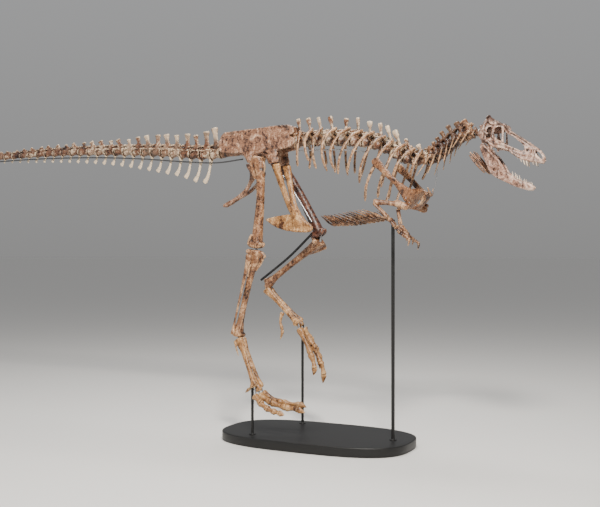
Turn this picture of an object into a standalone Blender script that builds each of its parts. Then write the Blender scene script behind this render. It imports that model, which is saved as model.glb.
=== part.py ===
"""Life-size mounted skeleton of a young gorgosaur-like tyrannosaur on its steel stand.

Metres, +Z up, +X towards the head, +Y to the animal's left. The origin is the centre of the
base's underside. Every bone is a loft, a plate or a row of beads worked out from the named
sizes below; pieces of one bone are united, and bones that meet keep a gap of 0.3 mm.
"""
import math

import bmesh
import bpy
from mathutils import Matrix, Vector

GAP = 0.0003
WELD = 2e-6
FLAT_ANGLE = math.radians(1.5)
RIGHT = -1
LEFT = 1
SIDES = {"right": RIGHT, "left": LEFT}

# Stand
BASE_LENGTH = 1.70
BASE_WIDTH = 0.94
BASE_HEIGHT = 0.08
BASE_SQUARENESS = 2.9
BASE_SEGMENTS = 28
BASE_EDGE = 0.006
BASE_TAPER = 0.012
POST_SIDES = 8
FLANGE_RADIUS = 0.03
FLANGE_HEIGHT = 0.006
POST_RADIUS = 0.012
FRONT_POST_RADIUS = 0.0145
ROD_RADIUS = 0.0075
FRONT_POST = (0.69, 0.0)
RIGHT_FOOT_POST = (-0.470, -0.30)
LEFT_FOOT_POST = (-0.300, 0.33)
FRONT_POST_TOP = 1.903
RIGHT_FOOT_POST_TOP = 0.54
LEFT_FOOT_POST_TOP = 0.99

# Backbone: height of the centrum line over x, from the tail tip to the skull
COLUMN = [
    (-4.76, 2.580), (-4.20, 2.606), (-3.34, 2.628), (-2.84, 2.630), (-2.39, 2.620), (-1.74, 2.586),
    (-1.45, 2.562), (-1.13, 2.532), (-0.93, 2.538), (-0.50, 2.575), (-0.18, 2.591), (0.02, 2.591),
    (0.26, 2.577), (0.46, 2.551), (0.576, 2.515), (0.681, 2.464), (0.768, 2.412), (0.855, 2.382),
    (0.94, 2.376), (1.024, 2.388), (1.091, 2.418), (1.158, 2.467), (1.215, 2.512), (1.272, 2.545),
    (1.33, 2.562), (1.42, 2.590),
]
TAIL_TIP_X = -4.75
TAIL_ROOT_X = -0.95
SACRUM_FRONT_X = -0.20
NECK_ROOT_X = 1.00
NECK_END_X = 1.372
TAIL_COUNT = 35
TAIL_LENGTHS = ((0, 9), (9, 18), (18, 27), (27, 35))
DORSAL_JOINTS = (-0.200, -0.107, -0.009, 0.0925, 0.205, 0.320, 0.4265, 0.5265, 0.6175, 0.7025,
                 0.790, 0.8875, 1.000)
DORSAL_COUNT = len(DORSAL_JOINTS) - 1
NECK_COUNT = 7
NECK_SPLIT = 4

# Tops of the back spines, rear to front
SPINE_TOPS = [
    (-0.183, 2.795), (-0.085, 2.797), (0.011, 2.795), (0.120, 2.797), (0.272, 2.770), (0.378, 2.768),
    (0.484, 2.731), (0.576, 2.709), (0.638, 2.683), (0.703, 2.641), (0.798, 2.566), (0.905, 2.512),
]

# Ribs of one side, rear to front: widest half width of the chest there, and the x and z of five
# points from the head of the rib to its tip
RIBS = [
    (0.130, (-0.127, 2.673), (-0.132, 2.595), (-0.127, 2.518), (-0.128, 2.443), (-0.130, 2.364)),
    (0.200, (-0.010, 2.688), (-0.029, 2.614), (-0.024, 2.541), (-0.011, 2.467), (0.005, 2.398)),
    (0.220, (0.079, 2.690), (0.061, 2.600), (0.062, 2.504), (0.069, 2.412), (0.083, 2.329)),
    (0.245, (0.210, 2.680), (0.179, 2.610), (0.160, 2.516), (0.163, 2.412), (0.193, 2.301)),
    (0.255, (0.335, 2.672), (0.290, 2.605), (0.249, 2.502), (0.240, 2.404), (0.256, 2.319)),
    (0.265, (0.446, 2.643), (0.401, 2.582), (0.349, 2.472), (0.318, 2.366), (0.299, 2.271)),
    (0.270, (0.548, 2.625), (0.505, 2.560), (0.455, 2.462), (0.415, 2.367), (0.381, 2.281)),
    (0.272, (0.650, 2.585), (0.602, 2.517), (0.549, 2.408), (0.512, 2.304), (0.491, 2.190)),
    (0.265, (0.716, 2.548), (0.667, 2.444), (0.620, 2.316), (0.562, 2.170), (0.537, 2.043)),
    (0.250, (0.820, 2.508), (0.770, 2.435), (0.719, 2.308), (0.669, 2.180), (0.641, 2.066)),
    (0.230, (0.903, 2.470), (0.848, 2.403), (0.803, 2.320), (0.760, 2.184), (0.729, 2.058)),
    (0.170, (0.962, 2.455), (0.950, 2.402), (0.932, 2.347), (0.910, 2.287), (0.891, 2.234)),
]
RIB_SPREADS = (0.0, 0.78, 1.0, 1.02, 0.90)

# Legs: ends of the long bones, and how far the fibula stands forward of the shin's middle
HIP_Z = 2.455
LEGS = {
    "right": {
        "hip": (-0.475, -0.195, HIP_Z), "knee": (-0.475, -0.210, 1.665),
        "shin": (-0.492, -0.212, 1.655), "ankle": (-0.645, -0.250, 0.905),
        "heel": (-0.618, -0.252, 0.890), "sole": (-0.412, -0.290, 0.445), "fibula": -0.010,
    },
    "left": {
        "hip": (-0.487, 0.195, HIP_Z), "knee": (-0.058, 0.215, 1.775),
        "shin": (-0.072, 0.217, 1.740), "ankle": (-0.655, 0.290, 1.330),
        "heel": (-0.645, 0.292, 1.300), "sole": (-0.295, 0.310, 0.960), "fibula": 0.030,
    },
}

# Share of triangles kept on the bodies whose cuts leave more than their shape needs
SLIMMED = {
    "skull": 0.70, "jaw_left": 0.86, "jaw_right": 0.86,
    "metatarsus_left": 0.82, "metatarsus_right": 0.82, "hand_left": 0.80, "hand_right": 0.80,
    "scapula_left": 0.80, "scapula_right": 0.80,
}

# Bones whose colour differs from the rest
PALE_BONES = ("metatarsus", "toe")
DARK_BONES = ("neck_rear", "femur_left", "tibia_left")

BONE = (0.40, 0.24, 0.16, 1.0)
BONE_LIGHT = (0.62, 0.44, 0.30, 1.0)
BONE_DARK = (0.22, 0.11, 0.07, 1.0)
BLACK = (0.012, 0.012, 0.013, 1.0)
STEEL = (0.42, 0.42, 0.43, 1.0)


def clear_scene():
    for item in list(bpy.data.objects):
        bpy.data.objects.remove(item, do_unlink=True)


def lerp(a, b, t):
    return a + (b - a) * t


def ramp(t, stops):
    """Straight-line value of a list of (position, value) at t."""
    if t <= stops[0][0]:
        return stops[0][1]
    for (p0, v0), (p1, v1) in zip(stops, stops[1:]):
        if t <= p1:
            return lerp(v0, v1, (t - p0) / (p1 - p0))
    return stops[-1][1]


def spline(points, count):
    """Catmull-Rom curve through points of any dimension, read at count even steps."""
    last = len(points) - 1
    result = []
    for i in range(count):
        t = i * last / (count - 1)
        k = min(int(t), last - 1)
        f = t - k
        p0 = points[max(k - 1, 0)]
        p1 = points[k]
        p2 = points[k + 1]
        p3 = points[min(k + 2, last)]
        result.append(tuple(
            0.5 * (2 * b + (c - a) * f + (2 * a - 5 * b + 4 * c - d) * f * f
                   + (3 * b - a - 3 * c + d) * f ** 3)
            for a, b, c, d in zip(p0, p1, p2, p3)))
    return result


def bezier(p0, p1, p2, p3, t):
    s = 1 - t
    return p0 * s ** 3 + p1 * 3 * s * s * t + p2 * 3 * s * t * t + p3 * t ** 3


def column_z(x):
    """Height of the backbone's centre line at x."""
    for k in range(len(COLUMN) - 1):
        if x <= COLUMN[k + 1][0] or k == len(COLUMN) - 2:
            break
    x0, z0 = COLUMN[k]
    x1, z1 = COLUMN[k + 1]
    xa, za = COLUMN[max(k - 1, 0)]
    xb, zb = COLUMN[min(k + 2, len(COLUMN) - 1)]
    span = x1 - x0
    m0 = (z1 - za) / (x1 - xa) * span
    m1 = (zb - z0) / (xb - x0) * span
    t = (x - x0) / span
    return ((2 * t ** 3 - 3 * t * t + 1) * z0 + (t ** 3 - 2 * t * t + t) * m0
            + (3 * t * t - 2 * t ** 3) * z1 + (t ** 3 - t * t) * m1)


def column_frame(x):
    """Point on the backbone with its forward and upward directions."""
    step = 0.01
    forward = Vector((2 * step, 0, column_z(x + step) - column_z(x - step))).normalized()
    return Vector((x, 0, column_z(x))), forward, Vector((-forward.z, 0, forward.x))


def column_steps(start, end, count):
    """Joints that divide the backbone between two x into lengths equal along the curve."""
    fine = 400
    xs = [lerp(start, end, i / fine) for i in range(fine + 1)]
    run = [0.0]
    for a, b in zip(xs, xs[1:]):
        run.append(run[-1] + math.hypot(b - a, column_z(b) - column_z(a)))
    joints = []
    k = 0
    for i in range(count + 1):
        goal = run[-1] * i / count
        while k < fine - 1 and run[k + 1] < goal:
            k += 1
        joints.append(lerp(xs[k], xs[k + 1], (goal - run[k]) / (run[k + 1] - run[k])))
    return joints


# ---- shapes ---------------------------------------------------------------------------------

def skin_rings(bm, rings):
    """Closes a row of equal rings of points into one body facing out."""
    made = [[bm.verts.new(p) for p in ring] for ring in rings]
    count = len(made[0])
    for a, b in zip(made, made[1:]):
        for i in range(count):
            j = (i + 1) % count
            bm.faces.new((a[i], a[j], b[j], b[i]))
    bm.faces.new(tuple(reversed(made[0])))
    bm.faces.new(tuple(made[-1]))
    return [v for ring in made for v in ring]


def tube(stations, sides=6, ref=(0, 0, 1), turn=0.5):
    """Loft along stations (x, y, z, half width, half height); half height lies along ref."""
    bm = bmesh.new()
    points = [Vector(s[:3]) for s in stations]
    rings = []
    ref = Vector(ref)
    for i, s in enumerate(stations):
        ahead = points[min(i + 1, len(points) - 1)] - points[max(i - 1, 0)]
        ahead.normalize()
        across = ref.cross(ahead).normalized()
        up = ahead.cross(across)
        ring = []
        for k in range(sides):
            angle = 2 * math.pi * (k + turn) / sides
            ring.append(points[i] + across * s[3] * math.cos(angle) + up * s[4] * math.sin(angle))
        rings.append(ring)
    skin_rings(bm, rings)
    bmesh.ops.recalc_face_normals(bm, faces=bm.faces)
    return bm


def inset_outline(outline, depth):
    """Moves each corner of a closed outline inwards by depth."""
    count = len(outline)
    area = sum(outline[i][0] * outline[(i + 1) % count][1] - outline[(i + 1) % count][0] * outline[i][1]
               for i in range(count))
    turn = 1 if area > 0 else -1
    result = []
    for i in range(count):
        before = Vector(outline[i]) - Vector(outline[i - 1])
        after = Vector(outline[(i + 1) % count]) - Vector(outline[i])
        before.normalize()
        after.normalize()
        normal = Vector((-(before.y + after.y), before.x + after.x)) * turn
        if normal.length > 0:
            normal.normalize()
        result.append(tuple(Vector(outline[i]) + normal * depth))
    return result


def plate(outline, half, edge, place):
    """Plate with a bevelled rim; place(u, w, side) gives the point, side from -1 to 1 times half."""
    inner = inset_outline(outline, edge)
    bm = bmesh.new()
    rings = []
    for points, side in ((inner, -1), (outline, 0), (inner, 1)):
        rings.append([place(u, w, side * half) for u, w in points])
    skin_rings(bm, rings)
    bmesh.ops.recalc_face_normals(bm, faces=bm.faces)
    return bm


def prism(outline, y0, y1):
    """Straight cutter with an outline in the x-z plane."""
    bm = bmesh.new()
    skin_rings(bm, [[(u, y, w) for u, w in outline] for y in (y0, y1)])
    bmesh.ops.recalc_face_normals(bm, faces=bm.faces)
    return bm


def cylinder(start, end, radius, sides):
    start = Vector(start)
    end = Vector(end)
    ref = (1, 0, 0) if abs((end - start).normalized().x) < 0.7 else (0, 0, 1)
    return tube([(*start, radius, radius), (*end, radius, radius)], sides, ref)


def moved(bm, matrix):
    bmesh.ops.transform(bm, matrix=matrix, verts=bm.verts)
    if matrix.determinant() < 0:
        bmesh.ops.reverse_faces(bm, faces=bm.faces)
    return bm


def bone_frame(start, end, forward, side):
    """Matrix that sets a bone drawn down -Z with its front at +X and its inner side at +Y."""
    start = Vector(start)
    axis = (start - Vector(end)).normalized()
    front = Vector(forward)
    front = (front - axis * front.dot(axis)).normalized()
    inner = axis.cross(front) * (1 if side == RIGHT else -1)
    rows = Matrix((front, inner, axis)).transposed().to_4x4()
    return Matrix.Translation(start) @ rows


# ---- solids ---------------------------------------------------------------------------------

def to_object(bm, name):
    mesh = bpy.data.meshes.new(name)
    bmesh.ops.triangulate(bm, faces=bm.faces)
    bm.to_mesh(mesh)
    bm.free()
    item = bpy.data.objects.new(name, mesh)
    bpy.context.scene.collection.objects.link(item)
    return item


def boolean(item, tool, operation, own=False):
    """Applies an exact Boolean of item with tool, and removes the tool."""
    modifier = item.modifiers.new("cut", "BOOLEAN")
    modifier.operation = operation
    modifier.solver = "EXACT"
    modifier.use_self = own
    modifier.object = tool
    graph = bpy.context.evaluated_depsgraph_get()
    mesh = bpy.data.meshes.new_from_object(item.evaluated_get(graph))
    item.modifiers.clear()
    item.data = mesh
    bpy.data.objects.remove(tool, do_unlink=True)
    return item


def fuse(name, shapes):
    """Unites closed shapes, which may cross one another, into one body."""
    if len(shapes) == 1:
        return to_object(shapes[0], name)
    gathered = bmesh.new()
    for shape in shapes[1:]:
        mesh = bpy.data.meshes.new("piece")
        bmesh.ops.triangulate(shape, faces=shape.faces)
        shape.to_mesh(mesh)
        shape.free()
        gathered.from_mesh(mesh)
        bpy.data.meshes.remove(mesh)
    return boolean(to_object(gathered, name), to_object(shapes[0], "first"), "UNION", own=True)


def cut(item, bm):
    return boolean(item, to_object(bm, "cutter"), "DIFFERENCE")


def carve(item, neighbour, gap=GAP):
    """Takes a neighbour's shape, grown by the gap, out of item."""
    bm = bmesh.new()
    bm.from_mesh(neighbour.data)
    bm.normal_update()
    shifts = [v.normal * gap * min(v.calc_shell_factor(), 3.0) for v in bm.verts]
    for vert, shift in zip(bm.verts, shifts):
        vert.co += shift
    return cut(item, bm)


def keep_half(item, point, normal):
    """Keeps the part of item on the far side of the plane's normal, closed again."""
    bm = bmesh.new()
    bm.from_mesh(item.data)
    everything = list(bm.verts) + list(bm.edges) + list(bm.faces)
    bmesh.ops.bisect_plane(bm, geom=everything, dist=1e-6, plane_co=point, plane_no=normal,
                           clear_outer=True)
    open_edges = [e for e in bm.edges if e.is_boundary]
    bmesh.ops.holes_fill(bm, edges=open_edges, sides=0)
    bmesh.ops.triangulate(bm, faces=bm.faces)
    bmesh.ops.recalc_face_normals(bm, faces=bm.faces)
    bm.to_mesh(item.data)
    bm.free()
    return item


def slim(item, ratio):
    """Collapses the least needed edges of a crowded body."""
    modifier = item.modifiers.new("slim", "DECIMATE")
    modifier.ratio = ratio
    graph = bpy.context.evaluated_depsgraph_get()
    mesh = bpy.data.meshes.new_from_object(item.evaluated_get(graph))
    item.modifiers.clear()
    item.data = mesh


def copy_of(item, name):
    twin = bpy.data.objects.new(name, item.data.copy())
    bpy.context.scene.collection.objects.link(twin)
    return twin


def tidy(item):
    """Welds stray doubles, drops crumbs and keeps the largest body."""
    bm = bmesh.new()
    bm.from_mesh(item.data)
    bmesh.ops.remove_doubles(bm, verts=bm.verts, dist=WELD)
    bmesh.ops.dissolve_degenerate(bm, edges=bm.edges, dist=WELD)
    seen = set()
    groups = []
    for first in bm.verts:
        if first in seen:
            continue
        group = []
        stack = [first]
        seen.add(first)
        while stack:
            vert = stack.pop()
            group.append(vert)
            for edge in vert.link_edges:
                other = edge.other_vert(vert)
                if other not in seen:
                    seen.add(other)
                    stack.append(other)
        groups.append(group)
    groups.sort(key=len)
    for group in groups[:-1]:
        bmesh.ops.delete(bm, geom=group, context="VERTS")
    bmesh.ops.dissolve_limit(bm, angle_limit=FLAT_ANGLE, verts=bm.verts, edges=bm.edges)
    bmesh.ops.triangulate(bm, faces=bm.faces)
    bm.to_mesh(item.data)
    bm.free()


def finish(item, colour, roughness=0.62, metallic=0.0):
    tidy(item)
    material = bpy.data.materials.new(item.name)
    material.use_nodes = True
    shader = material.node_tree.nodes["Principled BSDF"]
    shader.inputs["Base Color"].default_value = colour
    shader.inputs["Roughness"].default_value = roughness
    shader.inputs["Metallic"].default_value = metallic
    item.data.materials.clear()
    item.data.materials.append(material)
    item.data.shade_smooth()
    item.data.set_sharp_from_angle(angle=math.radians(35))
    return item


# ---- stand ----------------------------------------------------------------------------------

def base():
    """Low plinth with rounded ends and a small bevel."""
    def ring(shrink, z):
        power = 2 / BASE_SQUARENESS
        points = []
        for k in range(BASE_SEGMENTS):
            angle = 2 * math.pi * k / BASE_SEGMENTS
            c = math.cos(angle)
            s = math.sin(angle)
            x = (BASE_LENGTH / 2 - shrink) * math.copysign(abs(c) ** power, c)
            y = (BASE_WIDTH / 2 - shrink) * math.copysign(abs(s) ** power, s)
            points.append((x, y, z))
        return points
    bm = bmesh.new()
    skin_rings(bm, [ring(BASE_TAPER, 0), ring(0, BASE_HEIGHT - BASE_EDGE), ring(BASE_EDGE, BASE_HEIGHT)])
    bmesh.ops.recalc_face_normals(bm, faces=bm.faces)
    return to_object(bm, "stand_base")


def post(name, spot, top, radius=POST_RADIUS):
    """Upright with a small round flange on the base."""
    bottom = BASE_HEIGHT + GAP
    foot = (*spot, bottom)
    return fuse(name, [
        cylinder(foot, (*spot, bottom + FLANGE_HEIGHT), FLANGE_RADIUS, POST_SIDES),
        cylinder((*spot, bottom + FLANGE_HEIGHT / 2), (*spot, top), radius, POST_SIDES)])


def rod(name, points, radius=ROD_RADIUS, ref=(0, 1, 0), sides=6):
    return to_object(tube([(*p, radius, radius) for p in points], sides, ref), name)


# ---- backbone -------------------------------------------------------------------------------

UPPER_A = 0
TOP = 1
UPPER_B = 2
BOTTOM = 4
BEAD_SIDES = 6


def beads(joints, size, waist=0.76):
    """Row of spool-shaped centra between joints; size is their half height over x."""
    bm = bmesh.new()
    rings = []
    ahead = 1 if joints[-1] > joints[0] else -1

    def ring(x, share, shift=0.0):
        point, forward, up = column_frame(x)
        half = size(x) * share
        across = Vector((0, half * ahead, 0))
        corners = []
        for k in range(BEAD_SIDES):
            angle = 2 * math.pi * k / BEAD_SIDES
            corners.append(point + forward * shift + across * math.cos(angle)
                           + up * half * 1.12 * math.sin(angle))
        rings.append(corners)

    for k, (a, b) in enumerate(zip(joints, joints[1:])):
        ring(a, 1.0, ahead * GAP / 2 if k == 0 else 0.0)
        ring(lerp(a, b, 0.5), waist)
    ring(joints[-1], 1.0, -ahead * GAP / 2)
    skin_rings(bm, rings)
    bm.faces.ensure_lookup_table()
    return bm, list(bm.faces)


def grow(bm, face, rings):
    """Pulls a four-sided face out through rings of four given as (centre, half a, half b)."""
    corners = list(face.verts)
    bm.faces.remove(face)
    for centre, a, b in rings:
        points = [centre + a + b, centre - a + b, centre - a - b, centre + a - b]
        orders = []
        for ordered in (points, points[::-1]):
            for k in range(4):
                turned = ordered[k:] + ordered[:k]
                miss = sum((c.co - p).length for c, p in zip(corners, turned))
                orders.append((miss, len(orders), turned))
        made = [bm.verts.new(p) for p in min(orders)[2]]
        for i in range(4):
            j = (i + 1) % 4
            bm.faces.new((corners[i], corners[j], made[j], made[i]))
        corners = made
    bm.faces.new(corners)


def closed(bm):
    bmesh.ops.recalc_face_normals(bm, faces=bm.faces)
    return bm


def spine_rings(x, foot, rise, lean, width, thick):
    """Rings of a neural arch and spine that leans back by lean and broadens to a club."""
    point, forward, up = column_frame(x)
    levels = ((lerp(foot, rise, 0.42), width * 0.36, thick * 0.8, 0.4), (rise, width * 0.5, thick, 1.0))
    return [(point + up * level - forward * lean * share, forward * half_length, Vector((0, half_width, 0)))
            for level, half_length, half_width, share in levels]


def process_rings(x, side, level, reach, thick, rise, sweep=0.0):
    """Ring at the end of a transverse process."""
    point, forward, up = column_frame(x)
    tip = point + up * (level + rise) - forward * sweep + Vector((0, side * reach, 0))
    return [(tip, forward * thick * 1.5, up * thick * 0.7)]


def tail_size(x):
    """Half size of the tail's centra, from the root to the tip."""
    share = (x - TAIL_ROOT_X) / (TAIL_TIP_X - TAIL_ROOT_X)
    return ramp(share, ((0, 0.050), (0.15, 0.045), (0.35, 0.036), (0.6, 0.028), (0.85, 0.020), (1, 0.009)))


def tail_length(name, joints, first, last):
    """One length of the tail with its spines, transverse processes and chevrons."""
    bm, faces = beads(joints[first:last + 1], tail_size, 0.78)
    for k in range(first, last):
        share = k / (TAIL_COUNT - 1)
        x = (joints[k] + joints[k + 1]) / 2
        size = tail_size(x)
        rise = ramp(share, ((0, 0.235), (0.05, 0.190), (0.2, 0.155), (0.3, 0.112), (0.5, 0.076),
                            (0.75, 0.040), (1, 0.020)))
        segment = (k - first) * 2
        if k < 30:
            width = ramp(share, ((0, 0.055), (0.3, 0.046), (0.8, 0.05)))
            levels = spine_rings(x, size, rise, 0.03, width, ramp(share, ((0, 0.012), (1, 0.005))))
            grow(bm, faces[(segment + 1) * BEAD_SIDES + TOP], levels if k < 15 else levels[1:])
        if k < 13:
            reach = ramp(share, ((0, 0.135), (0.4, 0.06)))
            for side, face in ((RIGHT, UPPER_A), (LEFT, UPPER_B)):
                tip = process_rings(x, side, size * 0.35, reach, 0.012, -0.005, 0.02)
                grow(bm, faces[(segment + 1) * BEAD_SIDES + face], tip)
        if 1 <= k < 31:
            grow(bm, faces[segment * BEAD_SIDES + BOTTOM], chevron_rings(joints[k], share, k < 12))
    return to_object(closed(bm), name)


def chevron_rings(x, share, full):
    """Rings of a haemal blade under a joint, curved back and broadest near its foot."""
    point = column_frame(x)[0]
    size = tail_size(x)
    drop = size + ramp(share, ((0, 0.14), (0.03, 0.215), (0.06, 0.200), (0.1, 0.165), (0.2, 0.132),
                               (0.3, 0.092), (0.45, 0.066), (0.7, 0.034), (1, 0.014)))
    broad = ramp(share, ((0, 0.018), (0.5, 0.013), (1, 0.006)))
    thick = ramp(share, ((0, 0.010), (1, 0.004)))
    rows = [(0.14, 0.02, 0.62, 1.0), (0.97, 0.24, 0.95, 0.9)]
    if not full:
        rows = [(0.92, 0.20, 0.85, 0.9)]
    rings = []
    for fall, back, wide, deep in rows:
        centre = Vector((point.x - drop * back - 0.01, 0, point.z - lerp(size, drop, fall)))
        half_length = Vector((broad * wide, 0, -broad * wide * 0.3))
        rings.append((centre, half_length, Vector((0, thick * deep, 0))))
    return rings


def rail():
    """Steel rail along the right of the chevrons, just under the centra."""
    points = []
    for share in (0, 0.07, 0.16, 0.28, 0.42, 0.58, 0.76):
        x = lerp(-0.72, TAIL_TIP_X, share)
        size = tail_size(min(x, TAIL_ROOT_X))
        clear = ramp(share, ((0, 0.028), (0.3, 0.016), (1, 0.004)))
        points.append((x, -0.024, column_z(x) - size * 1.12 - ROD_RADIUS - clear))
    return rod("stand_rail_tail", points, ROD_RADIUS * 0.9, (0, 0, 1))


def sacrum():
    """Fused vertebrae between the hip plates, with a long crest and sacral ribs that reach them."""
    joints = column_steps(TAIL_ROOT_X, SACRUM_FRONT_X, 5)
    bm, faces = beads(joints, lambda x: 0.047, 0.86)
    for k in range(5):
        x = (joints[k] + joints[k + 1]) / 2
        segment = k * 2 + 1
        grow(bm, faces[segment * BEAD_SIDES + TOP], spine_rings(x, 0.047, 0.135, 0, 0.125, 0.010)[1:])
        for side, face in ((LEFT, UPPER_A), (RIGHT, UPPER_B)):
            grow(bm, faces[segment * BEAD_SIDES + face], process_rings(x, side, 0.02, 0.060, 0.020, 0.0))
    return to_object(closed(bm), "sacrum")


def dorsal_size(x):
    return ramp(x, ((-0.2, 0.047), (0.5, 0.044), (1.0, 0.038)))


def rib_rings(index, x, side):
    """Rings of a rib from its head beside the spine, out and back, down to its tip."""
    spread, *places = RIBS[index]
    points = []
    for share, (rib_x, rib_z) in zip(RIB_SPREADS, places):
        points.append(Vector((rib_x, side * max(share * spread, 0.072), rib_z)))
    root = column_frame(x)[0]
    rings = []
    for i, p in enumerate(points):
        before = points[i - 1] if i > 0 else root
        along = (points[min(i + 1, 4)] - before).normalized()
        broad = (0.019, 0.0155, 0.012, 0.011, 0.009)[i]
        face = Vector((1, 0, 0.2)) - along * along.dot(Vector((1, 0, 0.2)))
        face = face.normalized() * broad
        rings.append((p, face, along.cross(face) * 0.62))
    return rings


def back_spine_rings(index, x):
    """Rings of a back vertebra's spine, from its narrow foot to its broader top."""
    point, forward, up = column_frame(x)
    top = Vector((SPINE_TOPS[index][0], 0, SPINE_TOPS[index][1]))
    foot = point.lerp(top, 0.45)
    fore = Vector((1, 0, 0))
    return [(foot, fore * 0.016, Vector((0, 0.010, 0))), (top, fore * 0.026, Vector((0, 0.012, 0)))]


def rib_cage():
    """Back vertebrae with their ribs, parted along the midline into two sides."""
    joints = DORSAL_JOINTS
    bm, faces = beads(joints, dorsal_size)
    for k in range(DORSAL_COUNT):
        x = (joints[k] + joints[k + 1]) / 2
        segment = k * 2 + 1
        grow(bm, faces[segment * BEAD_SIDES + TOP], back_spine_rings(k, x))
        for side, face in ((LEFT, UPPER_A), (RIGHT, UPPER_B)):
            grow(bm, faces[segment * BEAD_SIDES + face], rib_rings(k, x, side))
    body = to_object(closed(bm), "rib_cage")
    sides = {}
    for label, side in SIDES.items():
        sides[label] = keep_half(copy_of(body, "rib_cage_" + label), (0, side * GAP / 2, 0), (0, -side, 0))
    bpy.data.objects.remove(body, do_unlink=True)
    return sides


def gather(shapes):
    """Puts closed shapes side by side in one object."""
    joined = bmesh.new()
    for shape in shapes:
        mesh = bpy.data.meshes.new("piece")
        shape.to_mesh(mesh)
        shape.free()
        joined.from_mesh(mesh)
        bpy.data.meshes.remove(mesh)
    return to_object(joined, "shapes")


def neck_size(x):
    return ramp(x, ((NECK_ROOT_X, 0.038), (NECK_END_X, 0.033)))


def neck_length(name, joints, first, last):
    """One length of the neck with its spines and slender neck ribs."""
    bm, faces = beads(joints[first:last + 1], neck_size, 0.84)
    for k in range(first, last):
        x = (joints[k] + joints[k + 1]) / 2
        share = k / (NECK_COUNT - 1)
        rise = ramp(share, ((0, 0.105), (0.5, 0.14), (0.67, 0.145), (0.83, 0.132), (1, 0.125)))
        lean = ramp(share, ((0.6, -0.01), (0.83, 0.022), (1, 0.030)))
        width = ramp(share, ((0.8, 0.044), (1, 0.066)))
        segment = (k - first) * 2 + 1
        grow(bm, faces[segment * BEAD_SIDES + TOP],
             spine_rings(x, neck_size(x), rise, lean, width, 0.014))
        for side, face in ((LEFT, UPPER_A), (RIGHT, UPPER_B)):
            grow(bm, faces[segment * BEAD_SIDES + face],
                 neck_rib_rings(x, side, ramp(share, ((0, 0.19), (1, 0.11)))))
    return to_object(closed(bm), name)


def neck_rib_rings(x, side, length):
    """Side process of a neck vertebra that turns down into a slender rib."""
    point, forward, up = column_frame(x)
    root = point + up * 0.012 + Vector((0, side * 0.066, 0))
    back = (Vector((0, side * 0.12, 0)) - forward * 0.75 - up * 0.62).normalized()
    across = Vector((0, side, 0))
    tip = root + back * length
    return [(root, forward * 0.014, (up - across * 0.6).normalized() * 0.011),
            (tip, forward * 0.004, across * 0.003)]


# ---- hips -----------------------------------------------------------------------------------

ILIUM = [
    (-0.929, 2.634), (-0.890, 2.700), (-0.803, 2.713), (-0.616, 2.722), (-0.456, 2.732), (-0.268, 2.738),
    (-0.202, 2.722), (-0.184, 2.684), (-0.196, 2.655), (-0.236, 2.640), (-0.186, 2.622), (-0.180, 2.570),
    (-0.240, 2.535), (-0.335, 2.512), (-0.318, 2.440), (-0.345, 2.404), (-0.415, 2.408), (-0.440, 2.462),
    (-0.495, 2.492), (-0.552, 2.466), (-0.580, 2.415), (-0.620, 2.418), (-0.660, 2.470), (-0.720, 2.513),
    (-0.914, 2.531),
]


def ilium(label, side):
    def place(u, w, n):
        lean = ramp(w, ((2.40, 0.112), (2.52, 0.092), (2.74, 0.062)))
        return Vector((u, side * (lean + n), w))
    return to_object(plate(ILIUM, 0.015, 0.010, place), "ilium_" + label)


def pubis(label, side):
    """Pubic shaft and its half of the boot, parted from the other side at the midline."""
    shaft = tube([
        (-0.345, side * 0.105, 2.402 - GAP, 0.024, 0.040), (-0.330, side * 0.100, 2.34, 0.019, 0.033),
        (-0.295, side * 0.080, 2.20, 0.015, 0.024), (-0.245, side * 0.048, 2.04, 0.014, 0.024),
        (-0.195, side * 0.024, 1.93, 0.018, 0.034), (-0.180, side * 0.018, 1.86, 0.016, 0.045)],
        6, (1, 0, 0))
    boot_outline = [
        (-0.490, 1.928), (-0.395, 1.948), (-0.285, 1.962), (-0.165, 1.962), (-0.110, 1.905),
        (-0.052, 1.868), (-0.046, 1.828), (-0.085, 1.804), (-0.240, 1.812), (-0.375, 1.842),
        (-0.478, 1.902)]
    boot = plate(boot_outline, 0.030, 0.014, lambda u, w, n: Vector((u, n, w)))
    body = fuse("pubis_" + label, [shaft, boot])
    return keep_half(body, (0, side * GAP / 2, 0), (0, -side, 0))


def ischium(label, side):
    shaft = tube([
        (-0.612, side * 0.110, 2.406, 0.020, 0.026), (-0.598, side * 0.100, 2.34, 0.015, 0.048),
        (-0.628, side * 0.072, 2.26, 0.012, 0.040), (-0.690, side * 0.042, 2.178, 0.011, 0.024),
        (-0.790, side * 0.026, 2.115, 0.010, 0.016), (-0.900, side * 0.020, 2.060, 0.011, 0.018),
        (-0.925, side * 0.019, 2.050, 0.008, 0.012)], 6, (1, 0, 0))
    body = to_object(shaft, "ischium_" + label)
    return keep_half(body, (0, side * GAP / 2, 0), (0, -side, 0))


# ---- legs -----------------------------------------------------------------------------------

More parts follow.
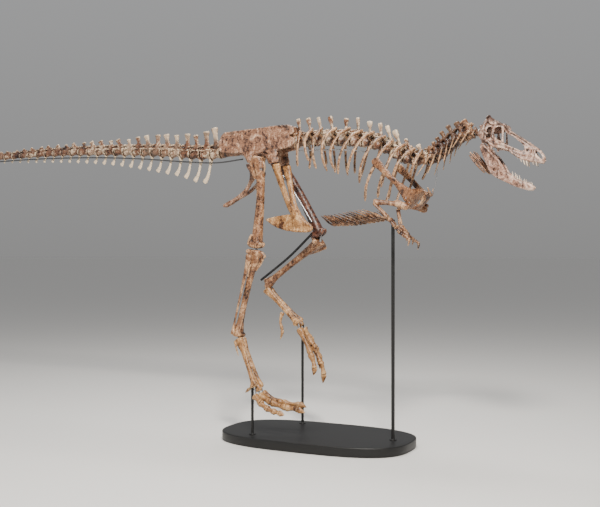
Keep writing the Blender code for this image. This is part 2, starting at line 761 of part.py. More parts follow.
def femur(label, side, leg):
    """Thigh bone: head turned in to the hip, front flange, bowed shaft and two condyles."""
    length = (Vector(leg["hip"]) - Vector(leg["knee"])).length
    bm = tube([
        (-0.008, -0.004, 0.000, 0.026, 0.042), (-0.004, -0.004, -0.024, 0.040, 0.062),
        (0.018, -0.002, -0.095, 0.038, 0.052), (0.030, 0.000, -0.200, 0.036, 0.040),
        (0.026, 0.000, -length * 0.50, 0.036, 0.040), (0.008, 0.000, -length * 0.76, 0.043, 0.053),
        (0.002, 0.000, -length + 0.070, 0.054, 0.061), (-0.002, 0.000, -length + 0.024, 0.056, 0.060),
        (0.000, 0.000, -length, 0.044, 0.042)], 8, (1, 0, 0))
    bm.faces.ensure_lookup_table()
    faces = list(bm.faces)
    inner = min(range(8), key=lambda i: -faces[8 + i].calc_center_median().y)
    front = min(range(8), key=lambda i: -faces[16 + i].calc_center_median().x)
    rear = (front + 4) % 8
    fore = Vector((1, 0, 0))
    inward = Vector((0, 1, 0))
    upward = Vector((0, 0, 1))
    grow(bm, faces[8 + inner], [
        (Vector((-0.004, 0.052, -0.034)), fore * 0.030, upward * 0.026),
        (Vector((-0.008, 0.078, -0.020)), fore * 0.034, upward * 0.030),
        (Vector((-0.010, 0.098, -0.014)), fore * 0.020, upward * 0.018)])
    grow(bm, faces[16 + front], [(Vector((0.070, -0.004, -0.100)), inward * 0.010, upward * 0.035)])
    for step in (-1, 1):
        face = faces[48 + (rear + step) % 8]
        offset = math.copysign(0.030, face.calc_center_median().y)
        knob = Vector((-0.066, offset, -length + 0.040))
        grow(bm, face, [(knob, inward * 0.015, upward * 0.026)])
    body = to_object(closed(bm), "femur_" + label)
    body.data.transform(bone_frame(leg["hip"], leg["knee"], leg_front(label), side))
    fix_mirror(body, side)
    return body


def leg_front(label):
    return (1, 0, 0.2) if label == "right" else (1, 0, 0.6)


def fix_mirror(item, side):
    """Turns faces out again on a bone that was mirrored to the left side."""
    if side == LEFT:
        item.data.flip_normals()


def tibia(label, side, leg):
    """Shin bone with a broad head and front crest, and the ankle block at its foot."""
    length = (Vector(leg["shin"]) - Vector(leg["ankle"])).length
    bm = tube([
        (-0.004, 0.000, 0.000, 0.048, 0.062), (0.006, 0.000, -0.035, 0.052, 0.074),
        (0.012, 0.000, -0.095, 0.036, 0.046), (0.006, 0.000, -0.200, 0.029, 0.033),
        (0.000, 0.000, -length * 0.55, 0.028, 0.029), (0.000, 0.000, -length * 0.80, 0.034, 0.030),
        (0.002, 0.000, -length + 0.075, 0.050, 0.036), (0.004, 0.000, -length + 0.030, 0.058, 0.044),
        (0.004, 0.000, -length, 0.050, 0.036)], 8, (1, 0, 0))
    bm.faces.ensure_lookup_table()
    faces = list(bm.faces)
    front = min(range(8), key=lambda i: -faces[8 + i].calc_center_median().x)
    crest = Vector((0.096, 0.006, -0.048))
    grow(bm, faces[8 + front], [(crest, Vector((0, 0.012, 0)), Vector((0, 0, 0.030)))])
    body = to_object(closed(bm), "tibia_" + label)
    body.data.transform(bone_frame(leg["shin"], leg["ankle"], leg_front(label), side))
    fix_mirror(body, side)
    return body


def fibula(label, side, leg):
    """Slender outer shin bone beside the tibia."""
    length = (Vector(leg["shin"]) - Vector(leg["ankle"])).length
    fore = leg["fibula"]
    stations = [
        (fore, -0.067, -0.056, 0.012, 0.032), (fore, -0.065, -0.100, 0.012, 0.028),
        (fore - 0.010, -0.055, -0.200, 0.011, 0.019), (fore - 0.016, -0.046, -length * 0.55, 0.010, 0.014),
        (fore - 0.014, -0.056, -length * 0.85, 0.010, 0.012),
        (fore - 0.004, -0.072, -length + 0.030, 0.013, 0.020),
        (fore, -0.072, -length + 0.012, 0.010, 0.016)]
    body = to_object(tube(stations, 6, (1, 0, 0)), "fibula_" + label)
    body.data.transform(bone_frame(leg["shin"], leg["ankle"], leg_front(label), side))
    fix_mirror(body, side)
    return body


def metatarsus(label, side, leg):
    """Three long foot bones pinched together at the top, and the small outer splint."""
    length = (Vector(leg["heel"]) - Vector(leg["sole"])).length
    shapes = []
    for offset, spread, share, thick in ((0.030, 0.048, 0.94, 0.020), (0.0, 0.0, 1.0, 0.022),
                                         (-0.030, -0.050, 0.92, 0.021)):
        pinch = 0.6 if offset == 0 else 1.0
        shapes.append(tube([
            (0.000, offset, 0.000, thick * pinch, 0.040),
            (0.002, offset * 0.95, -length * 0.25, thick * 0.9 * pinch, 0.026),
            (0.004, lerp(offset, spread, 0.6), -length * share * 0.78, thick, 0.022),
            (0.006, spread, -length * share * 0.95, thick * 1.15, 0.031),
            (0.004, spread, -length * share, thick * 0.9, 0.020)], 5, (1, 0, 0)))
    shapes.append(tube([(-0.034, -0.044, -0.015, 0.009, 0.014), (-0.044, -0.056, -0.150, 0.005, 0.007)],
                       4, (1, 0, 0)))
    body = fuse("metatarsus_" + label, shapes)
    body.data.transform(bone_frame(leg["heel"], leg["sole"], leg_front(label), side))
    fix_mirror(body, side)
    return body


def digit(name, path, bones, radius, claw, sides, ref):
    """Toe or finger: a row of knuckled bones along a curve, ending in a hooked claw."""
    count = bones * 2 + 1
    points = spline(path, 24)
    stations = []
    run = 1 - claw
    for k in range(count):
        t = run * k / (count - 1)
        p = sample(points, t)
        fade = lerp(1.0, 0.72, t)
        size = radius * fade * (1.0 if k % 2 == 0 else 0.66)
        stations.append((*p, size, size * 1.05))
    for t, share in ((lerp(run, 1, 0.30), 0.74), (1.0, 0.08)):
        p = sample(points, t)
        stations.append((*p, radius * share * 0.55, radius * share))
    return to_object(tube(stations, sides, ref), name)


def sample(points, t):
    place = t * (len(points) - 1)
    k = min(int(place), len(points) - 2)
    return Vector(points[k]).lerp(Vector(points[k + 1]), place - k)


# Toes: root, middle points and claw tip, in metres
TOES = {
    "right": {
        "toe_2": ([(-0.385, -0.240, 0.420), (-0.290, -0.225, 0.372), (-0.160, -0.205, 0.345),
                   (-0.070, -0.197, 0.346), (-0.010, -0.190, 0.326)], 2, 0.025, 0.26),
        "toe_3": ([(-0.392, -0.290, 0.405), (-0.300, -0.290, 0.365), (-0.170, -0.288, 0.330),
                   (-0.060, -0.286, 0.322), (0.020, -0.285, 0.298)], 3, 0.026, 0.20),
        "toe_4": ([(-0.415, -0.340, 0.405), (-0.345, -0.358, 0.350), (-0.260, -0.372, 0.312),
                   (-0.180, -0.382, 0.298), (-0.120, -0.388, 0.282)], 4, 0.024, 0.20),
        "toe_1": ([(-0.502, -0.236, 0.500), (-0.530, -0.222, 0.462), (-0.560, -0.215, 0.440),
                   (-0.592, -0.210, 0.412)], 1, 0.015, 0.42),
    },
    "left": {
        "toe_2": ([(-0.285, 0.262, 0.920), (-0.205, 0.240, 0.790), (-0.145, 0.222, 0.670),
                   (-0.125, 0.212, 0.600), (-0.132, 0.205, 0.540)], 2, 0.025, 0.26),
        "toe_3": ([(-0.268, 0.310, 0.912), (-0.190, 0.310, 0.800), (-0.120, 0.308, 0.665),
                   (-0.080, 0.306, 0.560), (-0.085, 0.305, 0.462)], 3, 0.026, 0.20),
        "toe_4": ([(-0.290, 0.362, 0.925), (-0.230, 0.378, 0.830), (-0.175, 0.392, 0.725),
                   (-0.150, 0.400, 0.640), (-0.165, 0.405, 0.575)], 4, 0.024, 0.20),
        "toe_1": ([(-0.452, 0.228, 1.090), (-0.462, 0.205, 1.010), (-0.440, 0.200, 0.920),
                   (-0.462, 0.198, 0.840)], 1, 0.016, 0.38),
    },
}


# ---- arms -----------------------------------------------------------------------------------

def scapula(label, side):
    """Long shoulder blade with the rounded coracoid plate turned in below it."""
    blade = tube([
        (0.628, side * 0.280, 2.378, 0.006, 0.032), (0.650, side * 0.286, 2.352, 0.008, 0.036),
        (0.735, side * 0.288, 2.262, 0.009, 0.028), (0.830, side * 0.266, 2.165, 0.011, 0.025),
        (0.872, side * 0.238, 2.116, 0.017, 0.042), (0.905, side * 0.205, 2.078, 0.020, 0.062),
        (0.925, side * 0.150, 2.056, 0.013, 0.085), (0.926, side * 0.090, 2.050, 0.010, 0.100),
        (0.922, side * 0.036, 2.047, 0.006, 0.098)], 6, (0.62, 0, 0.78))
    return to_object(blade, "scapula_" + label)


ARMS = {
    "right": {"shoulder": (0.905, -0.232, 1.985), "elbow": (0.628, -0.285, 2.030),
              "wrist": (0.755, -0.285, 1.905), "tip": (0.905, -0.265, 1.725)},
    "left": {"shoulder": (0.905, 0.232, 1.985), "elbow": (0.628, 0.285, 2.020),
             "wrist": (0.660, 0.270, 1.865), "tip": (0.800, 0.240, 1.700)},
}


def limb(name, start, end, profile, sides, bow=0.0):
    """Straight or slightly bowed bone; profile gives (share of length, half width, half height)."""
    start = Vector(start)
    end = Vector(end)
    axis = (end - start).normalized()
    ref = (0, 1, 0)
    lift = Vector(ref).cross(axis).normalized()
    stations = []
    for share, across, up in profile:
        p = start.lerp(end, share) + lift * bow * math.sin(math.pi * share)
        stations.append((*p, across, up))
    return to_object(tube(stations, sides, ref), name)


def arm(label, side):
    joint = {key: Vector(value) for key, value in ARMS[label].items()}
    made = [limb("humerus_" + label, joint["shoulder"], joint["elbow"], (
        (0, 0.020, 0.018), (0.10, 0.036, 0.024), (0.30, 0.024, 0.020), (0.55, 0.017, 0.016),
        (0.85, 0.024, 0.020), (1, 0.018, 0.016)), 6, 0.012)]
    shift = Vector((0, side * 0.0175, 0))
    axis = (joint["wrist"] - joint["elbow"]).normalized()
    rear = joint["elbow"] + axis * 0.020
    low = joint["wrist"] - axis * 0.004
    forearm = ((0, 0.012, 0.016), (0.2, 0.010, 0.012), (0.6, 0.009, 0.009), (1, 0.012, 0.012))
    made.append(limb("ulna_" + label, rear + shift, low + shift, forearm, 6))
    made.append(limb("radius_" + label, rear - shift, low - shift, forearm, 6))
    reach = joint["tip"] - joint["wrist"]
    palm = joint["wrist"] + reach * 0.34
    inner = Vector((0, -side * 0.016, 0))
    wrist = joint["wrist"]

    def bar(start, end, near, far):
        return tube([(*start, *near), (*end, *far)], 6, (0, 1, 0))

    made.append(fuse("hand_" + label, [
        bar(wrist + axis * 0.004, palm - reach * 0.16, (0.026, 0.013), (0.020, 0.011)),
        bar(wrist + inner + reach * 0.06, palm + inner, (0.010, 0.010), (0.012, 0.012)),
        bar(wrist - inner + reach * 0.06, palm - inner + reach * 0.06, (0.010, 0.010), (0.012, 0.012))]))
    for name, shift, root, length, bones in (("finger_1", inner * 1.5, 0.36, 0.80, 2),
                                             ("finger_2", -inner * 1.2, 0.42, 1.02, 3)):
        path = [tuple(wrist + shift + reach * root),
                tuple(wrist + shift + reach * lerp(root, length, 0.5)),
                tuple(wrist + shift * 1.3 + reach * length + Vector((0.018, 0, 0.012))),
                tuple(wrist + shift * 1.4 + reach * length + Vector((0.052, 0, -0.028)))]
        made.append(digit(name + "_" + label, path, bones, 0.0125, 0.30, 5, (0, 1, 0)))
    return made


# ---- belly ----------------------------------------------------------------------------------

GASTRALIA_PAIRS = 9
GASTRALIA_REAR_X = 0.13
GASTRALIA_FRONT_X = 0.705


def gastralia():
    """Belly ribs: slender rods that sweep back and up from their interlocked ends on the midline."""
    stations = []
    for k in range(GASTRALIA_PAIRS * 2 + 1):
        share = k / (GASTRALIA_PAIRS * 2)
        x = lerp(GASTRALIA_REAR_X, GASTRALIA_FRONT_X, share)
        z = gastralia_height(share)
        stations.append((x, 0, z, 0.014 if k % 2 else 0.009, 0.009))
    bm = tube(stations, 4, (0, 0, 1))
    bm.faces.ensure_lookup_table()
    faces = list(bm.faces)
    for k in range(GASTRALIA_PAIRS):
        share = (k + 0.5) / GASTRALIA_PAIRS
        x = lerp(GASTRALIA_REAR_X, GASTRALIA_FRONT_X, share)
        z = gastralia_height(share)
        spread = ramp(share, ((0, 0.11), (0.35, 0.19), (0.8, 0.20), (1, 0.15)))
        for face in faces[k * 8:k * 8 + 4]:
            middle = face.calc_center_median()
            if abs(middle.y) < 0.003:
                continue
            side = math.copysign(1, middle.y)
            sweep = ramp(share, ((0, 0.06), (0.3, 0.14), (1, 0.19)))
            middle = Vector((x - sweep * 0.48, side * spread * 0.5, z + 0.030))
            tip = Vector((x - sweep, side * spread, z + 0.080))
            grow(bm, face, [(middle, Vector((0.007, 0, 0)), Vector((0, 0, 0.006))),
                            (tip, Vector((0.004, 0, 0)), Vector((0, 0, 0.004)))])
    return to_object(closed(bm), "gastralia")


def gastralia_height(share):
    return ramp(share, ((0, 1.858), (0.4, 1.862), (1, 1.905)))


def furcula():
    return to_object(tube([
        (1.012, 0.078, 2.150, 0.006, 0.006), (1.016, 0.045, 2.112, 0.008, 0.008),
        (1.018, 0.000, 2.088, 0.009, 0.009), (1.016, -0.045, 2.112, 0.008, 0.008),
        (1.012, -0.078, 2.150, 0.006, 0.006)], 6, (1, 0, 0)), "furcula")


# ---- skull ----------------------------------------------------------------------------------

SKULL_ORIGIN = (1.40, 0.0, 2.585)
SKULL_PITCH = math.radians(27)
UPPER_TEETH = 8
LOWER_TEETH = 7
# Skull cross-sections: x, roof height, lower edge, half width above, half width below
SKULL = [
    (0.028, 0.150, -0.020, 0.030, 0.092), (0.062, 0.140, -0.040, 0.050, 0.108),
    (0.110, 0.120, -0.058, 0.072, 0.112), (0.180, 0.128, -0.066, 0.074, 0.104),
    (0.240, 0.108, -0.052, 0.044, 0.080), (0.320, 0.098, -0.040, 0.032, 0.060),
    (0.430, 0.081, -0.053, 0.027, 0.048), (0.520, 0.064, -0.030, 0.022, 0.038),
    (0.570, 0.038, -0.020, 0.017, 0.026), (0.588, 0.012, -0.014, 0.009, 0.012),
]


def skull_frame():
    return Matrix.Translation(SKULL_ORIGIN) @ Matrix.Rotation(SKULL_PITCH, 4, "Y")


def skull_shell(rows, wall, roof, floor):
    """Loft of skull cross-sections drawn in by wall, roof and floor."""
    bm = bmesh.new()
    rings = []
    for x, top, bottom, above, below in rows:
        a = above - wall
        b = below - wall
        t = top - roof
        f = bottom + floor
        mid = lerp(f, t, 0.55)
        rings.append([(x, y, z) for y, z in (
            (a * 0.6, t), (a, t - 0.018), (lerp(b, a, 0.3), mid), (b * 0.97, f),
            (-b * 0.97, f), (-lerp(b, a, 0.3), mid), (-a, t - 0.018), (-a * 0.6, t))])
    skin_rings(bm, rings)
    bmesh.ops.recalc_face_normals(bm, faces=bm.faces)
    return bm


def skull_rows(start, end, count):
    rows = []
    for i in range(count):
        x = lerp(start, end, i / (count - 1))
        rows.append((x, *(ramp(x, [(r[0], r[k]) for r in SKULL]) for k in (1, 2, 3, 4))))
    return rows


ORBIT = [(0.150, 0.096), (0.138, 0.070), (0.158, 0.018), (0.190, -0.010), (0.216, -0.004), (0.224, 0.016),
         (0.205, 0.070), (0.186, 0.098)]
FENESTRA = [(0.226, 0.072), (0.250, 0.086), (0.292, 0.083), (0.365, 0.056), (0.398, 0.030), (0.384, 0.004),
            (0.318, -0.008), (0.262, -0.004), (0.252, 0.010)]
TEMPORAL = [(0.098, 0.074), (0.082, 0.040), (0.090, -0.012), (0.118, -0.026), (0.132, -0.010),
            (0.112, 0.040), (0.112, 0.070)]
NARIS = [(0.498, 0.040), (0.520, 0.044), (0.556, 0.026), (0.560, 0.014), (0.545, 0.012), (0.512, 0.024)]
MAXILLARY = [(0.424, 0.030), (0.434, 0.040), (0.446, 0.032), (0.438, 0.020)]


def tooth(x, y, z, length, radius, back, down=-1):
    """Small pointed blade with its root sunk in the jaw."""
    return tube([(x, y, z - down * 0.006, radius * 0.7, radius),
                 (x - back, y, z + down * length, 0.0008, 0.0010)], 3, (1, 0, 0))


def skull():
    """Open shell with eye sockets, side windows, nostrils, braincase, palate and upper teeth."""
    body = to_object(skull_shell(SKULL, 0, 0, 0), "skull")
    cut(body, skull_shell(skull_rows(0.165, 0.345, 3), 0.015, 0.018, -0.04))
    cut(body, skull_shell(skull_rows(0.335, 0.50, 2), 0.014, 0.018, 0.026))
    for side in (LEFT, RIGHT):
        near, far = sorted((side * 0.036, side * 0.084))
        cut(body, prism([(0.012, 0.085), (0.170, 0.085), (0.170, -0.09), (0.012, -0.09)], near, far))
    cut(body, prism(ORBIT, -0.2, 0.2))
    cut(body, prism(FENESTRA, -0.2, 0.2))
    cut(body, prism(NARIS, -0.2, 0.2))
    for side in (LEFT, RIGHT):
        near = 0.04 if side == LEFT else -0.2
        cut(body, prism(TEMPORAL, near, near + 0.16))
        near = 0.02 if side == LEFT else -0.1
        cut(body, prism(MAXILLARY, near, near + 0.08))
    shapes = []
    for k in range(UPPER_TEETH):
        share = k / (UPPER_TEETH - 1)
        x = lerp(0.335, 0.566, share)
        width = ramp(x, [(r[0], r[4]) for r in SKULL]) - 0.006
        edge = ramp(x, [(r[0], r[2]) for r in SKULL])
        length = ramp(share, ((0, 0.016), (0.35, 0.034), (0.6, 0.040), (0.8, 0.026), (1, 0.018)))
        for side in (LEFT, RIGHT):
            shapes.append(tooth(x, side * width, edge, length, 0.0075, 0.008))
    tool = gather(shapes)
    body = boolean(body, tool, "UNION", own=True)
    body.data.transform(skull_frame())
    return body


JAW = [
    (0.096, -0.072), (0.116, -0.0595), (0.150, -0.072), (0.190, -0.094), (0.240, -0.110), (0.310, -0.146),
    (0.362, -0.182), (0.432, -0.200), (0.500, -0.204), (0.560, -0.196), (0.604, -0.198), (0.612, -0.212),
    (0.596, -0.238), (0.542, -0.256), (0.465, -0.266), (0.380, -0.265), (0.304, -0.262), (0.250, -0.240),
    (0.204, -0.194), (0.140, -0.136), (0.100, -0.106),
]


def jaw_width(x):
    return ramp(x, ((0.10, 0.094), (0.25, 0.080), (0.45, 0.045), (0.56, 0.024), (0.61, 0.0135)))


def jaw(label, side):
    """One half of the lower jaw with its teeth, met by the other at the chin."""
    def place(u, w, n):
        return Vector((u, side * max(jaw_width(u) + n, GAP / 2), w))
    shapes = [plate(JAW, 0.013, 0.009, place)]
    for k in range(LOWER_TEETH):
        share = k / (LOWER_TEETH - 1)
        x = lerp(0.375, 0.596, share)
        edge = ramp(x, JAW[5:11])
        length = ramp(share, ((0, 0.014), (0.4, 0.028), (0.75, 0.032), (1, 0.018)))
        shapes.append(tooth(x, side * (jaw_width(x) + 0.001), edge - 0.001, length, 0.0068, -0.002, 1))
    body = fuse("jaw_" + label, shapes)
    body.data.transform(skull_frame())
    return body


def hyoids():
    """Pair of slender throat bones joined in front, bent from one rod."""
    bm = tube([(0.030, 0.045, -0.170, 0.007, 0.009), (0.150, 0.040, -0.224, 0.006, 0.008),
               (0.232, 0.022, -0.258, 0.006, 0.007), (0.232, -0.022, -0.258, 0.006, 0.007),
               (0.150, -0.040, -0.224, 0.006, 0.008), (0.030, -0.045, -0.170, 0.007, 0.009)],
              5, (0.3, 0, 1))
    body = to_object(bm, "hyoids")
    body.data.transform(skull_frame())
    return body


# ---- the mount ------------------------------------------------------------------------------

def build():
    clear_scene()
    bones = {}
    tail_joints = column_steps(TAIL_ROOT_X, TAIL_TIP_X, TAIL_COUNT)
    for number, (first, last) in enumerate(TAIL_LENGTHS, 1):
        name = "tail_%d" % number
        bones[name] = tail_length(name, tail_joints, first, last)
    bones["sacrum"] = sacrum()
    for label, half in rib_cage().items():
        bones["rib_cage_" + label] = half
    neck_joints = column_steps(NECK_ROOT_X, NECK_END_X, NECK_COUNT)
    bones["neck_rear"] = neck_length("neck_rear", neck_joints, 0, NECK_SPLIT)
    bones["neck_front"] = neck_length("neck_front", neck_joints, NECK_SPLIT, NECK_COUNT)
    for label, side in SIDES.items():
        leg = LEGS[label]
        for maker in (femur, tibia, fibula, metatarsus):
            bones[maker.__name__ + "_" + label] = maker(label, side, leg)
        for maker in (ilium, pubis, ischium, scapula, jaw):
            bones[maker.__name__ + "_" + label] = maker(label, side)
        for name, (path, count, radius, claw) in TOES[label].items():
            full = name + "_" + label
            ref = (0, 0, 1) if label == "right" else (1, 0, 0)
            bones[full] = digit(full, path, count, radius, claw, 5, ref)
        for item in arm(label, side):
            bones[item.name] = item
    bones["gastralia"] = gastralia()
    bones["furcula"] = furcula()
    bones["skull"] = skull()
    bones["hyoids"] = hyoids()
    stand = {item.name: item for item in (
        base(), post("stand_post_front", FRONT_POST, FRONT_POST_TOP, FRONT_POST_RADIUS),
        post("stand_post_foot_right", RIGHT_FOOT_POST, RIGHT_FOOT_POST_TOP),
        post("stand_post_foot_left", LEFT_FOOT_POST, LEFT_FOOT_POST_TOP), rail(),
        rod("stand_rod_thigh_left", [(-0.40, 0.135, 2.32), (-0.26, 0.142, 2.12), (-0.12, 0.145, 1.90)]),
        rod("stand_rod_shin_left", [(-0.125, 0.165, 1.815), (-0.40, 0.190, 1.620), (-0.70, 0.235, 1.405)]),
        rod("stand_rod_neck", [(1.36, 0.0, 2.57), (1.44, 0.0, 2.60)], 0.012))}
    for name, ratio in SLIMMED.items():
        tidy(bones[name])
        slim(bones[name], ratio)
    fit(bones, stand)
    return bones, stand


def fit(bones, stand):
    """Cuts a gap into one of each two pieces that meet."""
    for label in SIDES:
        carve(bones["tibia_" + label], bones["femur_" + label])
        carve(bones["fibula_" + label], bones["femur_" + label])
        carve(bones["metatarsus_" + label], bones["tibia_" + label])
        carve(bones["ulna_" + label], bones["humerus_" + label])
        carve(bones["radius_" + label], bones["humerus_" + label])
        carve(bones["hand_" + label], bones["ulna_" + label])
        carve(bones["hand_" + label], bones["radius_" + label])
        carve(stand["stand_post_foot_" + label], bones["metatarsus_" + label])
    carve(stand["stand_post_front"], bones["gastralia"])
    carve(stand["stand_rod_shin_left"], bones["femur_left"])
    carve(stand["stand_rod_neck"], bones["skull"])
    carve(stand["stand_rod_neck"], bones["neck_front"])


def main():
    bones, stand = build()
    for name, item in bones.items():
        if name.startswith(PALE_BONES):
            colour = BONE_LIGHT
        elif name in DARK_BONES:
            colour = BONE_DARK
        else:
            colour = BONE
        finish(item, colour)
    for name, item in stand.items():
        if name == "stand_base" or name.startswith("stand_post"):
            finish(item, BLACK, 0.45)
        else:
            finish(item, STEEL, 0.35, 0.9)


main()
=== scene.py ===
"""Looks of the mounted skeleton of a young gorgosaur-like tyrannosaur on its steel stand.

Each bone is sketched from overlapping lofts, plates and knobs, which are fused into one skin,
smoothed and given a fine relief. Curvature and tone attributes then drive the bone finishes,
which hold stains and wear as well as painted shade and painted highlights.
Metres, +Z up, +X towards the head, +Y to the animal's left; mm() holds tables in millimetres.
"""
import math
import random

import bmesh
import bpy
import numpy as np
from mathutils import Matrix, Vector


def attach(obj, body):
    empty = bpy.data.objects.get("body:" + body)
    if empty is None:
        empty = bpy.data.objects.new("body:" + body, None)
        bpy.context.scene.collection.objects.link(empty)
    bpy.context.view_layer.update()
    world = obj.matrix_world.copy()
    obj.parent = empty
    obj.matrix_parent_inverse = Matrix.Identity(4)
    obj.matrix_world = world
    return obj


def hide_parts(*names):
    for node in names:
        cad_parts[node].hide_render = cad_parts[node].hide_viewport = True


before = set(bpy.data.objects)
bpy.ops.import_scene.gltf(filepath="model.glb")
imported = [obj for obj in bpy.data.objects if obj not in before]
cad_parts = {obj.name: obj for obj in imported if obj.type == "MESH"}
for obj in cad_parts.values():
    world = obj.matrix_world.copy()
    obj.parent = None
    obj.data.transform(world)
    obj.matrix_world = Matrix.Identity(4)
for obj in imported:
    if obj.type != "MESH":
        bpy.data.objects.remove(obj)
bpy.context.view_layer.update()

RIGHT = -1
LEFT = 1
SIDES = {"right": RIGHT, "left": LEFT}


# ---- numbers and curves ---------------------------------------------------------------------

def lerp(a, b, t):
    return a + (b - a) * t


def mm(values):
    """Metres from millimetres, however deeply nested."""
    if isinstance(values, (int, float)):
        return round(values / 1000, 7)
    return type(values)(mm(value) for value in values)


def sided(rows, side):
    """Rows of (x, y, ...) in millimetres, drawn on the left, as metres on the given side."""
    return [(x, side * y, *rest) for x, y, *rest in mm(rows)]


def unit(values):
    """Values held between 0 and 1."""
    return np.clip(values, 0, 1)


def ramp(t, stops):
    """Straight-line value of a list of (position, value) at t."""
    if t <= stops[0][0]:
        return stops[0][1]
    for (p0, v0), (p1, v1) in zip(stops, stops[1:]):
        if t <= p1:
            return lerp(v0, v1, (t - p0) / (p1 - p0))
    return stops[-1][1]


def spline(rows, count):
    """Catmull-Rom curve through rows of numbers, read at count even steps."""
    rows = [np.array(row, float) for row in rows]
    last = len(rows) - 1
    result = []
    for i in range(count):
        t = i * last / (count - 1)
        k = min(int(t), last - 1)
        f = t - k
        a, b = rows[k], rows[k + 1]
        before = rows[k - 1] if k else 2 * a - b
        after = rows[k + 2] if k + 2 <= last else 2 * b - a
        result.append(0.5 * (2 * a + (b - before) * f + (2 * before - 5 * a + 4 * b - after) * f * f
                             + (3 * a - before - 3 * b + after) * f ** 3))
    return result


# ---- sketching kit --------------------------------------------------------------------------

class Sketch:
    """Closed shapes gathered as vertices and faces."""

    def __init__(self):
        self.verts = []
        self.faces = []

    def add(self, verts, faces):
        start = len(self.verts)
        self.verts.extend(tuple(v) for v in verts)
        self.faces.extend([i + start for i in face] for face in faces)

    def rings(self, rings):
        """Closes a row of equal rings into one body."""
        count = len(rings[0])
        verts = [p for ring in rings for p in ring]
        faces = []
        for k in range(len(rings) - 1):
            for i in range(count):
                j = (i + 1) % count
                faces.append([k * count + i, k * count + j, (k + 1) * count + j, (k + 1) * count + i])
        faces.append(list(range(count))[::-1])
        faces.append([(len(rings) - 1) * count + i for i in range(count)])
        self.add(verts, faces)

    def loft(self, rows, ref=(0, 0, 1), sides=12, step=0.008, square=1.0):
        """Tube through rows of (x, y, z, half across, half along ref); square under 1 boxes it."""
        path = sum((Vector(a[:3]) - Vector(b[:3])).length for a, b in zip(rows, rows[1:]))
        count = max(3, len(rows), int(path / step) + 1)
        rows = spline(rows, count)
        points = [Vector(row[:3]) for row in rows]
        ref = Vector(ref)
        rings = []
        for k, row in enumerate(rows):
            ahead = (points[min(k + 1, count - 1)] - points[max(k - 1, 0)]).normalized()
            across = ref.cross(ahead).normalized()
            up = ahead.cross(across)
            wide = max(row[3], 0.0008)
            high = max(row[4], 0.0008)
            ring = []
            for i in range(sides):
                angle = 2 * math.pi * (i + 0.5) / sides
                c = math.cos(angle)
                s = math.sin(angle)
                c = math.copysign(abs(c) ** square, c)
                s = math.copysign(abs(s) ** square, s)
                ring.append(points[k] + across * wide * c + up * high * s)
            rings.append(ring)
        self.rings(rings)

    def rod(self, points, radii, flat=1.0, ref=(0, 0, 1), sides=10, step=0.008):
        """Round or flattened bar through points, one radius for each."""
        self.loft([(*p, r, r * flat) for p, r in zip(points, radii)], ref, sides, step)

    def knob(self, centre, radii):
        """Rounded lump with the given half sizes along x, y and z."""
        rings = []
        centre = Vector(centre)
        for k in range(1, 8):
            tilt = math.pi * k / 8
            ring = []
            for i in range(12):
                angle = 2 * math.pi * i / 12
                ring.append(centre + Vector((radii[0] * math.sin(tilt) * math.cos(angle),
                                             radii[1] * math.sin(tilt) * math.sin(angle),
                                             -radii[2] * math.cos(tilt))))
            rings.append(ring)
        self.rings(rings)

    def plate(self, outline, half, place):
        """Plate with a rounded rim; place(u, w, n) gives the point at n from its middle."""
        outline = smooth_loop(outline, 6)
        rings = []
        for share, shrink in ((-1, 1.0), (-0.6, 0.35), (0, 0), (0.6, 0.35), (1, 1.0)):
            ring = inset(outline, half * 0.8 * shrink)
            rings.append([place(u, w, half * share) for u, w in ring])
        self.rings(rings)

    def placed(self, matrix):
        """Moves every shape by matrix."""
        self.verts = [tuple(matrix @ Vector(p)) for p in self.verts]
        return self

    def mirrored(self):
        """Adds a copy of every shape, mirrored to the other side."""
        self.add([(x, -y, z) for x, y, z in self.verts], list(self.faces))


def drawn(maker, items):
    """Sketch to which maker adds a shape for each item."""
    sketch = Sketch()
    for item in items:
        maker(sketch, item)
    return sketch


def smooth_loop(outline, count):
    """Closed smooth curve through the corners of an outline."""
    size = len(outline)
    result = []
    for k in range(size):
        p0, p1, p2, p3 = (np.array(outline[(k + i - 1) % size], float) for i in range(4))
        for i in range(count):
            f = i / count
            result.append(tuple(0.5 * (2 * p1 + (p2 - p0) * f + (2 * p0 - 5 * p1 + 4 * p2 - p3) * f * f
                                       + (3 * p1 - p0 - 3 * p2 + p3) * f ** 3)))
    return result


def inset(outline, depth):
    """Moves each corner of a closed outline inwards by depth."""
    count = len(outline)
    area = sum(outline[i - 1][0] * outline[i][1] - outline[i][0] * outline[i - 1][1] for i in range(count))
    turn = 1 if area > 0 else -1
    result = []
    for i in range(count):
        reach = Vector(outline[(i + 1) % count]) - Vector(outline[i - 1])
        normal = Vector((-reach.y, reach.x)).normalized() * turn
        result.append(tuple(Vector(outline[i]) + normal * depth))
    return result


def to_mesh(sketch, name):
    """Mesh of a sketch with every shape facing out."""
    mesh = bpy.data.meshes.new(name)
    mesh.from_pydata(sketch.verts, [], sketch.faces)
    bm = bmesh.new()
    bm.from_mesh(mesh)
    bmesh.ops.recalc_face_normals(bm, faces=bm.faces)
    bmesh.ops.triangulate(bm, faces=[f for f in bm.faces if len(f.verts) > 4])
    bm.to_mesh(mesh)
    bm.free()
    return mesh


def add_object(name, mesh):
    item = bpy.data.objects.new(name, mesh)
    bpy.context.scene.collection.objects.link(item)
    return item


def evaluated_mesh(item):
    """Plain mesh of an object with its modifiers applied."""
    return bpy.data.meshes.new_from_object(item.evaluated_get(bpy.context.evaluated_depsgraph_get()))


def applied(item):
    """Replaces an object's mesh by its evaluated one and drops its modifiers."""
    mesh = evaluated_mesh(item)
    item.modifiers.clear()
    old = item.data
    item.data = mesh
    bpy.data.meshes.remove(old)
    mesh.name = item.name
    return item


